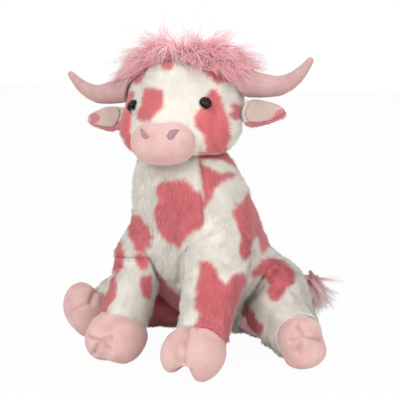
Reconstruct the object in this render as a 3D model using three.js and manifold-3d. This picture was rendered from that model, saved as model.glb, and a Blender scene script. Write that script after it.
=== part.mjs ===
// A seated plush cow with patched fur: stuffed torso, head, four legs with cloven hooves, horns, ears,
// a long-pile forelock, a tufted tail and safety eyes. The toy faces -Y, its left side is +X and +Z is up.
// The origin is the middle of the flat seat that it rests on. All sizes are in millimetres.
import * as THREE from "three";
import { mergeVertices } from "three/addons/utils/BufferGeometryUtils.js";
import Module from "manifold-3d";

const wasm = await Module();
wasm.setup();

// Gaps and allowances
const seamGap = 0.3; // between two stuffed pieces that are sewn together
const floorPress = 0.5; // how much of a round form is pressed flat by what it stands on
const cutReach = 600; // size of the blocks that cut, larger than the toy
const hollowFill = 16; // distance over which the hollow between two lobes is filled
const mergeWithin = 1e-4; // corners closer than this are one corner
const swingStepDegrees = 4; // how finely a swing is followed
const sweepSmoothing = 0.05; // how far the simplified skin of a swept neighbour may stray
const swingGap = 0.4; // between the torso and a piece that swings on it

// How finely the round forms are faceted
const facetCounts = {
  torsoAroundCount: 24,
  torsoWallCount: 10,
  edgeRingsCount: 4, // rings over a rounded edge or a domed end
  neckCupCount: 28,
  headDetailCount: 6,
  muzzleDetailCount: 4,
  forelockDetailCount: 3,
  hoofDetailCount: 3,
  latheCount: 14,
  lensAroundCount: 12,
  lensRingsCount: 6,
  legAroundCount: 14,
  frontLegAlongCount: 7,
  hindLegAlongCount: 6,
  hornAroundCount: 12,
  hornAlongCount: 10,
  earAroundCount: 12,
  earAlongCount: 5,
  tailAroundCount: 10,
  tailAlongCount: 8,
  tuftAroundCount: 12,
  tuftAlongCount: 4,
};

// Torso, a standing egg that leans forward from the seat to the neck
const torsoHeight = 222; // seat to neck pivot
const torsoWidth = 168;
const torsoDepth = 187;
const neckForward = 124; // the neck pivot ahead of the seat's middle
const neckWidth = 138;
const neckDepth = 96;
const seatRounding = 16;

// Head
const headWidth = 158;
const headDepth = 120;
const headHeight = 128;
const headForward = 3; // head centre ahead of the neck pivot
const headRise = 82; // head centre above the neck pivot
const headRollDegrees = 3.5; // the head leans to its right

// Muzzle and nostrils, measured from the head's centre
const muzzleWidth = 77;
const muzzleDepth = 66;
const muzzleHeight = 51;
const muzzleForward = 56;
const muzzleDrop = 37;
const nostrilLength = 15;
const nostrilWidth = 12;
const nostrilThickness = 1.4;
const nostrilSpacing = 36;
const nostrilRise = 12; // above the muzzle's centre
const nostrilTiltDegrees = 25; // the outer end hangs lower

// Safety eyes: a domed head on a ribbed shank, held by a washer behind the fabric
const eyeDiameter = 15;
const eyeDome = 5;
const eyeRim = 1.6;
const eyeSink = 1.2; // how far the rim is pressed into the pile
const eyeSpacing = 91;
const eyeRise = 5; // above the head's centre
const shankDiameter = 5;
const shankLength = 13;
const washerDiameter = 14;
const washerThickness = 2.4;
const fabricThickness = 3; // skin and backing clamped between eye and washer
const eyeClearance = 0.3;

// Horns, measured from the head's centre
const hornSpan = 315; // tip to tip
const hornRootWidth = 34;
const hornRise = 47; // tip above the head's centre
const hornBack = 7;

// Ears, measured from the head's centre
const earLength = 46;
const earHeight = 31;
const earThickness = 15;
const earDrop = 11;
const earForward = 5;
const earTwistDegrees = 22; // turns the lining a little upwards
const liningThickness = 3.2;
const liningProud = 0.8; // how far the lining stands out of the ear's front

// Forelock
const forelockWidth = 164;
const forelockDepth = 108;
const forelockHeight = 64;
const forelockRise = 66; // middle above the head's centre
const forelockForward = 4;

// Front legs
const shoulderHeight = 172;
const shoulderForward = 108; // ahead of the seat's middle
const frontLegWidth = 72;
const frontLegDepth = 76;
const frontAnkleHeight = 45;
const frontAnkleBack = 15; // behind the hoof's middle
const frontElbowBow = 3; // how far the leg bends outwards halfway
const frontHoof = { width: 70, length: 80, height: 64 };

// Hind legs
const hipInset = 24; // the hip inside the torso's side
const hipForward = 22; // ahead of the seat's middle
const hipHeight = 60.5;
const thighWidth = 108;
const thighHeight = 121;
const hindAnkleWidth = 62;
const hindAnkleHeight = 31; // middle of the ankle above the floor
const hindHoof = { width: 59, length: 77, height: 57 };

// Where each side of the toy is posed: a shoulder lies inside the torso's side, a front hoof's splay is counted
// from its shoulder, a hind ankle's from its hip, and reaches are counted from the seat's middle. A front leg's
// fullness is its width from the shoulder down to the ankle, as shares of the front legs' width: a pressed leg is
// fuller than a hanging one.
const pose = {
  left: {
    side: 1,
    shoulderInset: 34,
    frontFullness: [0.62, 1.08, 1.05, 0.92, 0.83],
    frontReach: 201,
    frontSplay: -1,
    frontToeInDegrees: 12,
    hindReach: 110,
    hindSplay: 82,
    hindHoofForward: 8,
    hindToeLiftDegrees: 4,
    hindRollDegrees: 74,
  },
  right: {
    side: -1,
    shoulderInset: 42,
    frontFullness: [0.53, 0.84, 0.86, 0.87, 0.86],
    frontReach: 181,
    frontSplay: 21,
    frontToeInDegrees: -5,
    hindReach: 106,
    hindSplay: 71,
    hindHoofForward: 18,
    hindToeLiftDegrees: 82,
    hindRollDegrees: 0,
  },
};

// Tail
const tailDiameter = 20;
const tailRootHeight = 56;
const tailSpan = 96; // from the root out to the tuft
const tailBackSweep = 18;
const tailRise = 4;
const tuftLength = 54;
const tuftDiameter = 37;
const tuftLeanDegrees = 28; // how far the hanging tuft leans outwards

// How far each soft seam lets its piece swing, in degrees
// about the +X line for the legs, and about +Z for the tail
const shoulderSwing = { low: -16, high: 3 };
const hipSwing = { low: -16, high: 0 };
const tailSwing = { low: -2, high: 60 };

const colours = {
  cream: 0xf1ece2,
  rose: 0xd96b76,
  blush: 0xecbfbd,
  shell: 0xf0d3cd,
  mauve: 0xd6a2a5,
  dusk: 0xb08a8c,
  black: 0x15100f,
  nylon: 0xdad8d2,
  forelock: 0xe39aa2,
};

const radians = THREE.MathUtils.degToRad;

// Solids from three.js geometry and back

function solid(geometry) {
  const bare = geometry.index ? geometry.toNonIndexed() : geometry;
  const places = new THREE.BufferGeometry().setAttribute("position", bare.getAttribute("position"));
  const merged = mergeVertices(places, mergeWithin);
  const corners = merged.index.array;
  const faces = [];
  for (let i = 0; i < corners.length; i += 3) {
    const [a, b, c] = corners.slice(i, i + 3);
    if (a !== b && b !== c && c !== a) {
      faces.push(a, b, c);
    }
  }
  return new wasm.Manifold(
    new wasm.Mesh({
      numProp: 3,
      vertProperties: new Float32Array(merged.attributes.position.array),
      triVerts: new Uint32Array(faces),
    }),
  );
}

function geometryOf(manifold) {
  const mesh = manifold.getMesh();
  const places = Float32Array.from(mesh.vertProperties);
  const geometry = new THREE.BufferGeometry().setAttribute("position", new THREE.BufferAttribute(places, 3));
  geometry.setIndex(Array.from(mesh.triVerts));
  geometry.computeVertexNormals();
  return geometry;
}

const joined = (solids) => solids.reduce((all, one) => all.add(one));

// A large block whose one face lies at a point and looks back along a direction.
function blockBeyond(point, direction) {
  const block = new THREE.BoxGeometry(cutReach, cutReach, cutReach).translate(0, 0, cutReach / 2);
  const up = new THREE.Vector3(0, 0, 1);
  block.applyQuaternion(new THREE.Quaternion().setFromUnitVectors(up, direction.clone().normalize()));
  return solid(block.translate(...point));
}

const down = new THREE.Vector3(0, 0, -1);
const belowFloor = blockBeyond([0, 0, 0], down);

// The solid turned about the x, y or z line through a pivot.
function turned(manifold, pivot, axis, degrees) {
  const angles = ["x", "y", "z"].map((name) => (name === axis ? degrees : 0));
  return manifold
    .translate(pivot.map((value) => -value))
    .rotate(angles)
    .translate(pivot);
}

// Everything that a neighbour fills, seen from a piece that swings between two limits.
function sweptPast(neighbour, pivot, axis, swing) {
  const angles = new Set([0, -swing.low]);
  for (let degrees = -swing.high; degrees < -swing.low; degrees += swingStepDegrees) {
    angles.add(degrees);
  }
  const filled = joined([...angles].map((degrees) => turned(neighbour, pivot, axis, degrees)));
  return filled.simplify(sweepSmoothing);
}

// A smooth curve through evenly spaced values, asked for by share of its length.
function valueAlong(values) {
  const places = values.map((value, i) => new THREE.Vector3(i, value, 0));
  const curve = new THREE.CatmullRomCurve3(places, false, "catmullrom", 0.5);
  return (share) => curve.getPoint(share).y;
}

// A closed skin over rings. Each ring has a centre and two half axes; the first and last are points.
function skinOverRings(rings, around) {
  const last = rings.length - 1;
  const points = [rings[0].centre];
  for (const { centre, across, deep } of rings.slice(1, last)) {
    for (let j = 0; j < around; j++) {
      const angle = (j / around) * 2 * Math.PI;
      points.push(centre.clone().addScaledVector(across, Math.cos(angle)).addScaledVector(deep, Math.sin(angle)));
    }
  }
  points.push(rings[last].centre);
  const at = (ring, j) => 1 + (ring - 1) * around + (j % around);
  const faces = [];
  for (let j = 0; j < around; j++) {
    faces.push(0, at(1, j + 1), at(1, j));
    for (let i = 1; i < last - 1; i++) {
      faces.push(at(i, j), at(i, j + 1), at(i + 1, j + 1), at(i, j), at(i + 1, j + 1), at(i + 1, j));
    }
    faces.push(at(last - 1, j), at(last - 1, j + 1), points.length - 1);
  }
  return solid(new THREE.BufferGeometry().setFromPoints(points).setIndex(faces));
}

// A stuffed tube along a curve, with half widths along a side direction, half depths across it, and domed ends.
function stuffedTube({ centres, halfWidths, halfDepths, startDome, endDome, side, around, along, grow = 0 }) {
  const path = new THREE.CatmullRomCurve3(centres.map((centre) => new THREE.Vector3(...centre)));
  const widthAt = valueAlong(halfWidths);
  const depthAt = valueAlong(halfDepths);
  const ringAt = (share, outward, shrink) => {
    const tangent = path.getTangent(share);
    const across = new THREE.Vector3(...side);
    across.addScaledVector(tangent, -across.dot(tangent)).normalize();
    const deep = tangent.clone().cross(across);
    return {
      centre: path.getPoint(share).addScaledVector(tangent, outward),
      across: across.multiplyScalar((widthAt(share) + grow) * shrink),
      deep: deep.multiplyScalar((depthAt(share) + grow) * shrink),
    };
  };
  const domeRings = facetCounts.edgeRingsCount;
  const rings = [];
  for (let i = 0; i < domeRings; i++) {
    const angle = (Math.PI / 2) * (1 - i / domeRings);
    rings.push(ringAt(0, -(startDome + grow) * Math.sin(angle), Math.cos(angle)));
  }
  for (let i = 0; i <= along; i++) {
    rings.push(ringAt(i / along, 0, 1));
  }
  for (let i = 1; i <= domeRings; i++) {
    const angle = (Math.PI / 2) * (i / domeRings);
    rings.push(ringAt(1, (endDome + grow) * Math.sin(angle), Math.cos(angle)));
  }
  return skinOverRings(rings, around);
}

// A stuffed form of egg-shaped lobes that all hold one inner point: its skin follows the farthest lobe in each
// direction, and the hollows between lobes are filled softly.
function lobedForm({ inner, lobes, detail, grow = 0 }) {
  const shell = new THREE.IcosahedronGeometry(1, detail);
  const place = shell.getAttribute("position");
  for (let i = 0; i < place.count; i++) {
    const direction = new THREE.Vector3().fromBufferAttribute(place, i).normalize();
    const point = skinPoint({ inner, lobes, grow }, direction);
    place.setXYZ(i, point.x, point.y, point.z);
  }
  return solid(shell);
}

function skinPoint({ inner, lobes, grow = 0 }, direction) {
  const start = new THREE.Vector3(...inner);
  const reach = lobes.map((lobe) => reachOf(lobe, start, direction, grow)).reduce(softMaximum);
  return direction.clone().multiplyScalar(reach).add(start);
}

function reachOf({ centre, radii }, start, direction, grow) {
  const size = new THREE.Vector3(...radii).addScalar(grow);
  const from = start.clone().sub(new THREE.Vector3(...centre)).divide(size);
  const along = direction.clone().divide(size);
  const a = along.dot(along);
  const b = from.dot(along);
  const inside = b * b - a * (from.dot(from) - 1);
  return inside > 0 ? (Math.sqrt(inside) - b) / a : 0;
}

function softMaximum(one, other) {
  const near = Math.max(hollowFill - Math.abs(one - other), 0) / hollowFill;
  return Math.max(one, other) + (near * near * hollowFill) / 4;
}

function lobesFrom(table, size) {
  const sized = (shares) => shares.map((share, axis) => share * size[axis]);
  return table.map(({ at, half }) => ({ centre: sized(at), radii: sized(half) }));
}

// Torso: level sections, round at the seat's edge, with a neck that is round about the nod axis.

const neckPivot = [0, -neckForward, torsoHeight];
const torsoHeightShares = [0.2, 0.45, 0.68, 0.86, 1]; // the other tables also hold the seat's edge, below these
const torsoLeanShares = [0, 0.15, 0.43, 0.645, 0.85, 1];
const torsoWidthShares = [0.72, 0.93, 1, 0.965, 0.93];
const torsoDepthShares = [0.5, 0.76, 1, 0.94, 0.72];

function torsoForm(grow = 0) {
  const heightAt = valueAlong([seatRounding, ...torsoHeightShares.map((share) => share * torsoHeight)]);
  const leanAt = valueAlong(torsoLeanShares.map((share) => share * neckForward));
  const widthAt = valueAlong([...torsoWidthShares.map((share) => (share * torsoWidth) / 2), neckWidth / 2]);
  const depthAt = valueAlong([...torsoDepthShares.map((share) => (share * torsoDepth) / 2), neckDepth / 2]);
  const level = (y, z, halfWidth, halfDepth) => ({
    centre: new THREE.Vector3(0, y, z),
    across: new THREE.Vector3(halfWidth, 0, 0),
    deep: new THREE.Vector3(0, halfDepth, 0),
  });
  const roundRings = facetCounts.edgeRingsCount;
  const wallRings = facetCounts.torsoWallCount;
  const seatWidth = widthAt(0) + grow;
  const seatDepth = depthAt(0) + grow;
  const rings = [level(0, -floorPress, 0, 0)];
  for (let i = 0; i < roundRings; i++) {
    const angle = (i / roundRings) * (Math.PI / 2);
    const inset = seatRounding * (1 - Math.sin(angle));
    const z = seatRounding - (seatRounding + floorPress) * Math.cos(angle);
    rings.push(level(0, z, seatWidth - inset, seatDepth - inset));
  }
  for (let i = 0; i <= wallRings; i++) {
    const share = i / wallRings;
    rings.push(level(-leanAt(share), heightAt(share), widthAt(share) + grow, depthAt(share) + grow));
  }
  for (let i = 1; i <= roundRings; i++) {
    const angle = (i / roundRings) * (Math.PI / 2);
    const flat = Math.cos(angle);
    const z = torsoHeight + (neckDepth / 2 + grow) * Math.sin(angle);
    rings.push(level(-neckForward, z, (neckWidth / 2 + grow) * flat, (neckDepth / 2 + grow) * flat));
  }
  return skinOverRings(rings, facetCounts.torsoAroundCount);
}

const torso = torsoForm();
const torsoSeam = torsoForm(swingGap);

// Head: its pieces are placed from the head's centre, then rolled and lifted onto the neck.

const headCentre = [0, neckPivot[1] - headForward, neckPivot[2] + headRise];
const ontoNeck = (manifold) => manifold.rotate([0, -headRollDegrees, 0]).translate(headCentre);

// The hollow under the head: round about the nod axis, with its flat facets outside the neck at every angle.
function neckCup() {
  const segments = facetCounts.neckCupCount;
  const clear = (radius) => (radius + seamGap) / Math.cos(Math.PI / segments) ** 2;
  const cup = new THREE.SphereGeometry(1, segments, segments / 2).rotateZ(Math.PI / 2);
  cup.scale(clear(neckWidth / 2), clear(neckDepth / 2), clear(neckDepth / 2));
  return solid(cup.translate(...neckPivot));
}

// Skull, two cheeks, brow with the bridge of the nose, and the root of the muzzle
const headLobeShares = [
  { at: [0, 0.06, 0.06], half: [0.49, 0.46, 0.46] },
  { at: [0.2, -0.13, -0.18], half: [0.31, 0.33, 0.31] },
  { at: [-0.2, -0.13, -0.18], half: [0.31, 0.33, 0.31] },
  { at: [0, -0.15, 0.08], half: [0.24, 0.36, 0.38] },
  { at: [0, -0.24, -0.2], half: [0.22, 0.36, 0.27] },
];
const headSize = [headWidth, headDepth, headHeight];
const headInnerShares = [0, -0.04, -0.04];
const headShape = {
  inner: headInnerShares.map((share, axis) => share * headSize[axis]),
  lobes: lobesFrom(headLobeShares, headSize),
};
const headForm = (grow = 0) => lobedForm({ ...headShape, detail: facetCounts.headDetailCount, grow });

// The place on the front of a lobed form at a given spread and rise, and which way the skin looks there.
const aimingSteps = 12; // how often the aim is corrected
const slopeShare = 0.08; // how far to each side the skin's slope is felt, as a share of the form's reach
function frontSkinAt(shape, forward, spread, rise) {
  const inner = new THREE.Vector3(...shape.inner);
  const aim = (x, z) => skinPoint(shape, new THREE.Vector3(x, -forward, z).sub(inner).normalize());
  const target = { x: spread, z: rise };
  for (let i = 0; i < aimingSteps; i++) {
    const reached = aim(target.x, target.z);
    target.x += spread - reached.x;
    target.z += rise - reached.z;
  }
  const step = forward * slopeShare;
  const toSide = aim(target.x + step, target.z).sub(aim(target.x - step, target.z));
  const toTop = aim(target.x, target.z + step).sub(aim(target.x, target.z - step));
  return { point: aim(target.x, target.z), normal: toSide.cross(toTop).normalize() };
}

// Muzzle

const muzzleSize = [muzzleWidth, muzzleDepth, muzzleHeight];
const muzzleCentre = [0, -muzzleForward, -muzzleDrop];
const muzzleLobeShares = [
  { at: [0, 0, -0.02], half: [0.42, 0.47, 0.48] },
  { at: [0.2, -0.04, 0.03], half: [0.3, 0.41, 0.44] },
  { at: [-0.2, -0.04, 0.03], half: [0.3, 0.41, 0.44] },
];
const muzzleShape = { inner: [0, 0, 0], lobes: lobesFrom(muzzleLobeShares, muzzleSize) };
const muzzleForm = (grow = 0) => lobedForm({ ...muzzleShape, detail: facetCounts.muzzleDetailCount, grow }).translate(muzzleCentre);

function nostril(side) {
  const { point, normal } = frontSkinAt(muzzleShape, muzzleDepth / 2, (side * nostrilSpacing) / 2, nostrilRise);
  const patch = new THREE.SphereGeometry(1, facetCounts.lensAroundCount, facetCounts.lensRingsCount);
  patch.scale(nostrilLength / 2, nostrilThickness + seamGap, nostrilWidth / 2);
  patch.rotateY(radians(side * nostrilTiltDegrees));
  patch.applyQuaternion(new THREE.Quaternion().setFromUnitVectors(new THREE.Vector3(0, -1, 0), normal));
  const place = point.add(new THREE.Vector3(...muzzleCentre));
  return solid(patch.translate(...place)).subtract(muzzleForm(seamGap));
}

// Safety eyes: every piece is turned about its shank, whose axis is the y line until the eye is placed.

const shankRadius = shankDiameter / 2;

function lathe(profile) {
  const places = profile.map(([radius, height]) => new THREE.Vector2(radius, height));
  return solid(new THREE.LatheGeometry(places, facetCounts.latheCount));
}

const disc = (radius, low, high) => lathe([[0, low], [radius, low], [radius, high], [0, high]]);

function eyeForm() {
  const domeSteps = facetCounts.edgeRingsCount;
  const radius = eyeDiameter / 2;
  const profile = [[0, -shankLength], [shankRadius, -shankLength], [shankRadius, 0], [radius, 0]];
  for (let i = 0; i <= domeSteps; i++) {
    const angle = (i / domeSteps) * (Math.PI / 2);
    const onAxis = i === domeSteps;
    profile.push([onAxis ? 0 : radius * Math.cos(angle), eyeRim + eyeDome * Math.sin(angle)]);
  }
  return lathe(profile);
}

function eyeParts(side) {
  const { point, normal } = frontSkinAt(headShape, headDepth / 2, (side * eyeSpacing) / 2, eyeRise);
  const turn = new THREE.Quaternion().setFromUnitVectors(new THREE.Vector3(0, 1, 0), normal);
  const base = point.clone().addScaledVector(normal, -eyeSink);
  const matrix = new THREE.Matrix4().compose(base, turn, new THREE.Vector3(1, 1, 1)).toArray();
  const washerTop = -fabricThickness;
  const washerLow = washerTop - washerThickness;
  const washerRadius = washerDiameter / 2;
  const shankHole = shankRadius + eyeClearance;
  const washer = disc(washerRadius, washerLow, washerTop).subtract(
    disc(shankHole, washerLow - washerThickness, washerTop + washerThickness),
  );
  const socket = joined([
    disc(eyeDiameter / 2 + eyeClearance, -eyeClearance, eyeDiameter),
    disc(shankHole, -shankLength - eyeClearance, 0),
    disc(washerRadius + eyeClearance, washerLow - eyeClearance, washerTop + eyeClearance),
  ]);
  return {
    eye: eyeForm().transform(matrix),
    washer: washer.transform(matrix),
    socket: socket.transform(matrix),
  };
}

// Horns

const hornOutShares = [0.4, 0.52, 0.64, 0.76, 0.87, 0.95, 1];
const hornRiseShares = [0.56, 0.51, 0.44, 0.42, 0.57, 0.8, 1];
const hornWidthShares = [1, 0.97, 0.87, 0.74, 0.58, 0.42, 0.3];
const hornDomeShares = { root: 0.2, tip: 0.13 };

function hornForm(side, grow = 0) {
  const halfWidths = hornWidthShares.map((share) => (share * hornRootWidth) / 2);
  return stuffedTube({
    centres: hornOutShares.map((share, i) => [(side * share * hornSpan) / 2, hornBack, hornRiseShares[i] * hornRise]),
    halfWidths,
    halfDepths: halfWidths,
    startDome: hornRootWidth * hornDomeShares.root,
    endDome: hornRootWidth * hornDomeShares.tip,
    side: [0, 1, 0],
    around: facetCounts.hornAroundCount,
    along: facetCounts.hornAlongCount,
    grow,
  });
}

// Ears: a plush back with a smooth lining let into its front. Until placed, the root seam is the z line.

const earOutShares = [0, 0.22, 0.45, 0.7, 0.9];
const earHeightShares = [1.03, 1.08, 0.96, 0.74, 0.44];
const earThicknessShares = [0.75, 1, 1, 0.85, 0.6];
const earTipShare = 0.1;
const liningShares = { length: 0.82, height: 0.8, start: 0.13, rise: 0.05 }; // of the ear's own outline

function earForm(side, grow = 0) {
  return stuffedTube({
    centres: earOutShares.map((share) => [side * share * earLength, 0, 0]),
    halfWidths: earThicknessShares.map((share) => (share * earThickness) / 2),
    halfDepths: earHeightShares.map((share) => (share * earHeight) / 2),
    startDome: (earThickness * earThicknessShares[0]) / 2,
    endDome: earLength * earTipShare,
    side: [0, 1, 0],
    around: facetCounts.earAroundCount,
    along: facetCounts.earAlongCount,
    grow,
  });
}

// The lining is a slice of the ear's own front, inside a smaller copy of its outline.
function earLining(side, grow = 0) {
  const outline = earForm(side, grow)
    .scale([liningShares.length, earThickness, liningShares.height])
    .translate([side * liningShares.start * earLength, 0, liningShares.rise * earHeight]);
  const behind = blockBeyond([0, 0, 0], new THREE.Vector3(0, 1, 0));
  const outer = earForm(side, liningProud + grow);
  const inner = earForm(side, liningProud - liningThickness - grow);
  return outer.intersect(outline).subtract(joined([inner, behind]));
}

// The ear's round root rests against the skin, so that the ear can flap without touching the head.
function ontoSkull(side, manifold) {
  const inner = new THREE.Vector3(...headShape.inner);
  const aim = new THREE.Vector3(headWidth / 2, -earForward, -earDrop).sub(inner).normalize();
  const skin = skinPoint(headShape, aim);
  const root = skin.x + (earThickness * earThicknessShares[0]) / 2 + seamGap;
  return manifold.rotate([-earTwistDegrees, 0, 0]).translate([side * root, skin.y, skin.z]);
}

// Forelock: the long-pile mop over the crown

const forelockSize = [forelockWidth, forelockDepth, forelockHeight];
const forelockLobeShares = [
  { at: [0, 0, -0.04], half: [0.5, 0.46, 0.42] },
  { at: [-0.04, 0.04, 0.1], half: [0.3, 0.36, 0.4] },
  { at: [0.03, -0.24, -0.16], half: [0.33, 0.26, 0.3] },
];

function forelock() {
  const lobes = lobesFrom(forelockLobeShares, forelockSize);
  const mop = lobedForm({ inner: [0, 0, 0], lobes, detail: facetCounts.forelockDetailCount });
  const placed = mop.translate([0, -forelockForward, forelockRise]);
  return placed.subtract(joined([headForm(seamGap), hornForm(1, seamGap), hornForm(-1, seamGap)]));
}

// Hooves: a heel and two toes. Until placed, the ankle is above and the toes look towards -Y.

const hoofLobeShares = [
  { at: [0, 0.1, 0.04], half: [0.43, 0.38, 0.45] },
  { at: [0.22, -0.1, -0.04], half: [0.28, 0.4, 0.45] },
  { at: [-0.22, -0.1, -0.04], half: [0.28, 0.4, 0.45] },
];

function hoofForm({ width, length, height }) {
  const lobes = lobesFrom(hoofLobeShares, [width, length, height]);
  return lobedForm({ inner: [0, 0, 0], lobes, detail: facetCounts.hoofDetailCount });
}

// Lets a form down until the floor presses it flat.
function settled(manifold) {
  const lowest = manifold.boundingBox().min[2];
  return manifold.translate([0, 0, -lowest - floorPress]).subtract(belowFloor);
}

// Front legs: from the shoulder, past a slightly bowed elbow, down to the ankle seam

const frontLegShares = [-0.12, 0.14, 0.42, 0.72, 1];
const frontBowShares = [0, 0.5, 1, 0.7, 0];
const frontDepthShares = [0.6, 0.95, 0.96, 0.9, 0.88];
const shoulderDomeShare = 0.36;
const ankleDomeShare = 0.25;

function frontLeg({ side, shoulderInset, frontFullness, frontReach, frontSplay, frontToeInDegrees }) {
  const shoulderSpread = torsoWidth / 2 - shoulderInset;
  const hoofSpread = shoulderSpread + frontSplay;
  const shoulder = new THREE.Vector3(side * shoulderSpread, -shoulderForward, shoulderHeight);
  const ankle = new THREE.Vector3(side * hoofSpread, frontAnkleBack - frontReach, frontAnkleHeight);
  const alongLeg = ankle.clone().sub(shoulder).normalize();
  const centres = frontLegShares.map((share, i) => {
    const centre = shoulder.clone().lerp(ankle, share);
    centre.x += side * frontElbowBow * frontBowShares[i];
    return centre.toArray();
  });
  const form = stuffedTube({
    centres,
    halfWidths: frontFullness.map((share) => (share * frontLegWidth) / 2),
    halfDepths: frontDepthShares.map((share) => (share * frontLegDepth) / 2),
    startDome: frontLegWidth * shoulderDomeShare,
    endDome: frontAnkleHeight * ankleDomeShare,
    side: [1, 0, 0],
    around: facetCounts.legAroundCount,
    along: facetCounts.frontLegAlongCount,
  });
  const torsoPast = sweptPast(torsoSeam, shoulder.toArray(), "x", shoulderSwing);
  const leg = form.subtract(torsoPast).subtract(blockBeyond(ankle.toArray(), alongLeg));
  const hoofSeam = ankle.clone().addScaledVector(alongLeg, seamGap);
  const hoof = settled(hoofForm(frontHoof).rotate([0, 0, -side * frontToeInDegrees]))
    .translate([side * hoofSpread, -frontReach, 0])
    .subtract(blockBeyond(hoofSeam.toArray(), alongLeg.clone().negate()));
  return { leg, hoof };
}

// Hind legs: a round thigh at the hip that narrows along the floor to the ankle seam

const hindLegShares = [0, 0.33, 0.68, 1];
const hindSlimShares = [0, 0.1, 0.6, 1];
const hipDomeShare = 0.34;

function hindLeg({ side, hindReach, hindSplay, hindHoofForward, hindToeLiftDegrees, hindRollDegrees }) {
  const hipSpread = torsoWidth / 2 - hipInset;
  const hip = new THREE.Vector3(side * hipSpread, -hipForward, hipHeight);
  const ankle = new THREE.Vector3(side * (hipSpread + hindSplay), -hindReach, hindAnkleHeight);
  const slimmed = (from, to) => hindSlimShares.map((share) => from + share * (to - from));
  const heights = slimmed(hipHeight, hindAnkleHeight);
  const form = stuffedTube({
    centres: hindLegShares.map((share, i) => hip.clone().lerp(ankle, share).setZ(heights[i]).toArray()),
    halfWidths: slimmed(thighHeight / 2, hindAnkleWidth / 2),
    halfDepths: slimmed(thighWidth / 2, hindAnkleWidth / 2),
    startDome: thighWidth * hipDomeShare,
    endDome: hindAnkleWidth * ankleDomeShare,
    side: [0, 0, 1],
    around: facetCounts.legAroundCount,
    along: facetCounts.hindLegAlongCount,
  });
  const alongLeg = ankle.clone().sub(hip).setZ(0).normalize();
  const torsoPast = sweptPast(torsoSeam, hip.toArray(), "x", hipSwing);
  const cuts = joined([torsoPast, belowFloor, blockBeyond(ankle.toArray(), alongLeg)]);
  const heading = THREE.MathUtils.radToDeg(Math.atan2(alongLeg.x, -alongLeg.y));
  const middle = ankle.clone().addScaledVector(alongLeg, hindHoofForward);
  const hoofSeam = ankle.clone().addScaledVector(alongLeg, seamGap);
  const hoof = settled(
    hoofForm(hindHoof)
      .rotate([0, side * hindRollDegrees, 0])
      .rotate([-hindToeLiftDegrees, 0, heading]),
  )
    .translate([middle.x, middle.y, 0])
    .subtract(blockBeyond(hoofSeam.toArray(), alongLeg.clone().negate()));
  return { leg: form.subtract(cuts), hoof };
}

// Tail: sewn to the rump, curving round to the left, with a tuft of long pile

const tailOutShares = [0, 0.26, 0.62, 1];
const tailBackShares = [-0.3, 0.6, 1, 0.45];
const tailRiseShares = [0, 0.3, 0.8, 1];
const tailThicknessShares = [1, 0.95, 0.85, 0.8];
const tuftAlongShares = [0, 0.33, 0.67, 0.92];
const tuftWidthShares = [0.5, 0.95, 1, 0.62];
const tailDomeShares = { root: 0.25, end: 0.33 };
const tuftDomeShares = { root: 0.3, end: 0.12 };

// How far back the torso's skin lies at a height that is between the second and third of its sections.
function torsoBackAt(height) {
  const [low, high] = torsoHeightShares.slice(0, 2).map((share) => share * torsoHeight);
  const upward = (height - low) / (high - low);
  const between = (shares) => shares[1] + upward * (shares[2] - shares[1]);
  return (torsoDepth / 2) * between(torsoDepthShares) - neckForward * between(torsoLeanShares);
}

const tailRoot = [0, torsoBackAt(tailRootHeight), tailRootHeight];
const tailCentres = tailOutShares.map((share, i) => [
  share * tailSpan,
  tailRoot[1] + tailBackShares[i] * tailBackSweep,
  tailRoot[2] + tailRiseShares[i] * tailRise,
]);

function tailForm(grow = 0) {
  const halfWidths = tailThicknessShares.map((share) => (share * tailDiameter) / 2);
  return stuffedTube({
    centres: tailCentres,
    halfWidths,
    halfDepths: halfWidths,
    startDome: tailDiameter * tailDomeShares.root,
    endDome: tailDiameter * tailDomeShares.end,
    side: [0, 0, 1],
    around: facetCounts.tailAroundCount,
    along: facetCounts.tailAlongCount,
    grow,
  });
}

function tailTuft() {
  const end = new THREE.Vector3(...tailCentres[tailCentres.length - 1]);
  const lean = radians(tuftLeanDegrees);
  const onward = new THREE.Vector3(Math.sin(lean), 0, -Math.cos(lean));
  const halfWidths = tuftWidthShares.map((share) => (share * tuftDiameter) / 2);
  return stuffedTube({
    centres: tuftAlongShares.map((share) => end.clone().addScaledVector(onward, share * tuftLength).toArray()),
    halfWidths,
    halfDepths: halfWidths,
    startDome: tuftDiameter * tuftDomeShares.root,
    endDome: tuftDiameter * tuftDomeShares.end,
    side: [0, 1, 0],
    around: facetCounts.tuftAroundCount,
    along: facetCounts.tuftAlongCount,
  }).subtract(tailForm(seamGap));
}

// The toy

const toy = new THREE.Group();

function addPiece(name, manifold, color, roughness = 0.95) {
  const material = new THREE.MeshStandardMaterial({ color, roughness, metalness: 0 });
  const mesh = new THREE.Mesh(geometryOf(manifold), material);
  mesh.name = name;
  toy.add(mesh);
}

const sides = { left: 1, right: -1 };
const eyes = { left: eyeParts(sides.left), right: eyeParts(sides.right) };
const head = ontoNeck(headForm().subtract(joined([eyes.left.socket, eyes.right.socket])));

addPiece("torso", torso.subtract(belowFloor), colours.cream);
addPiece("head", head.subtract(neckCup()), colours.cream);
addPiece("muzzle", ontoNeck(muzzleForm().subtract(headForm(seamGap))), colours.blush);
addPiece("forelock", ontoNeck(forelock()), colours.forelock);

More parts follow.
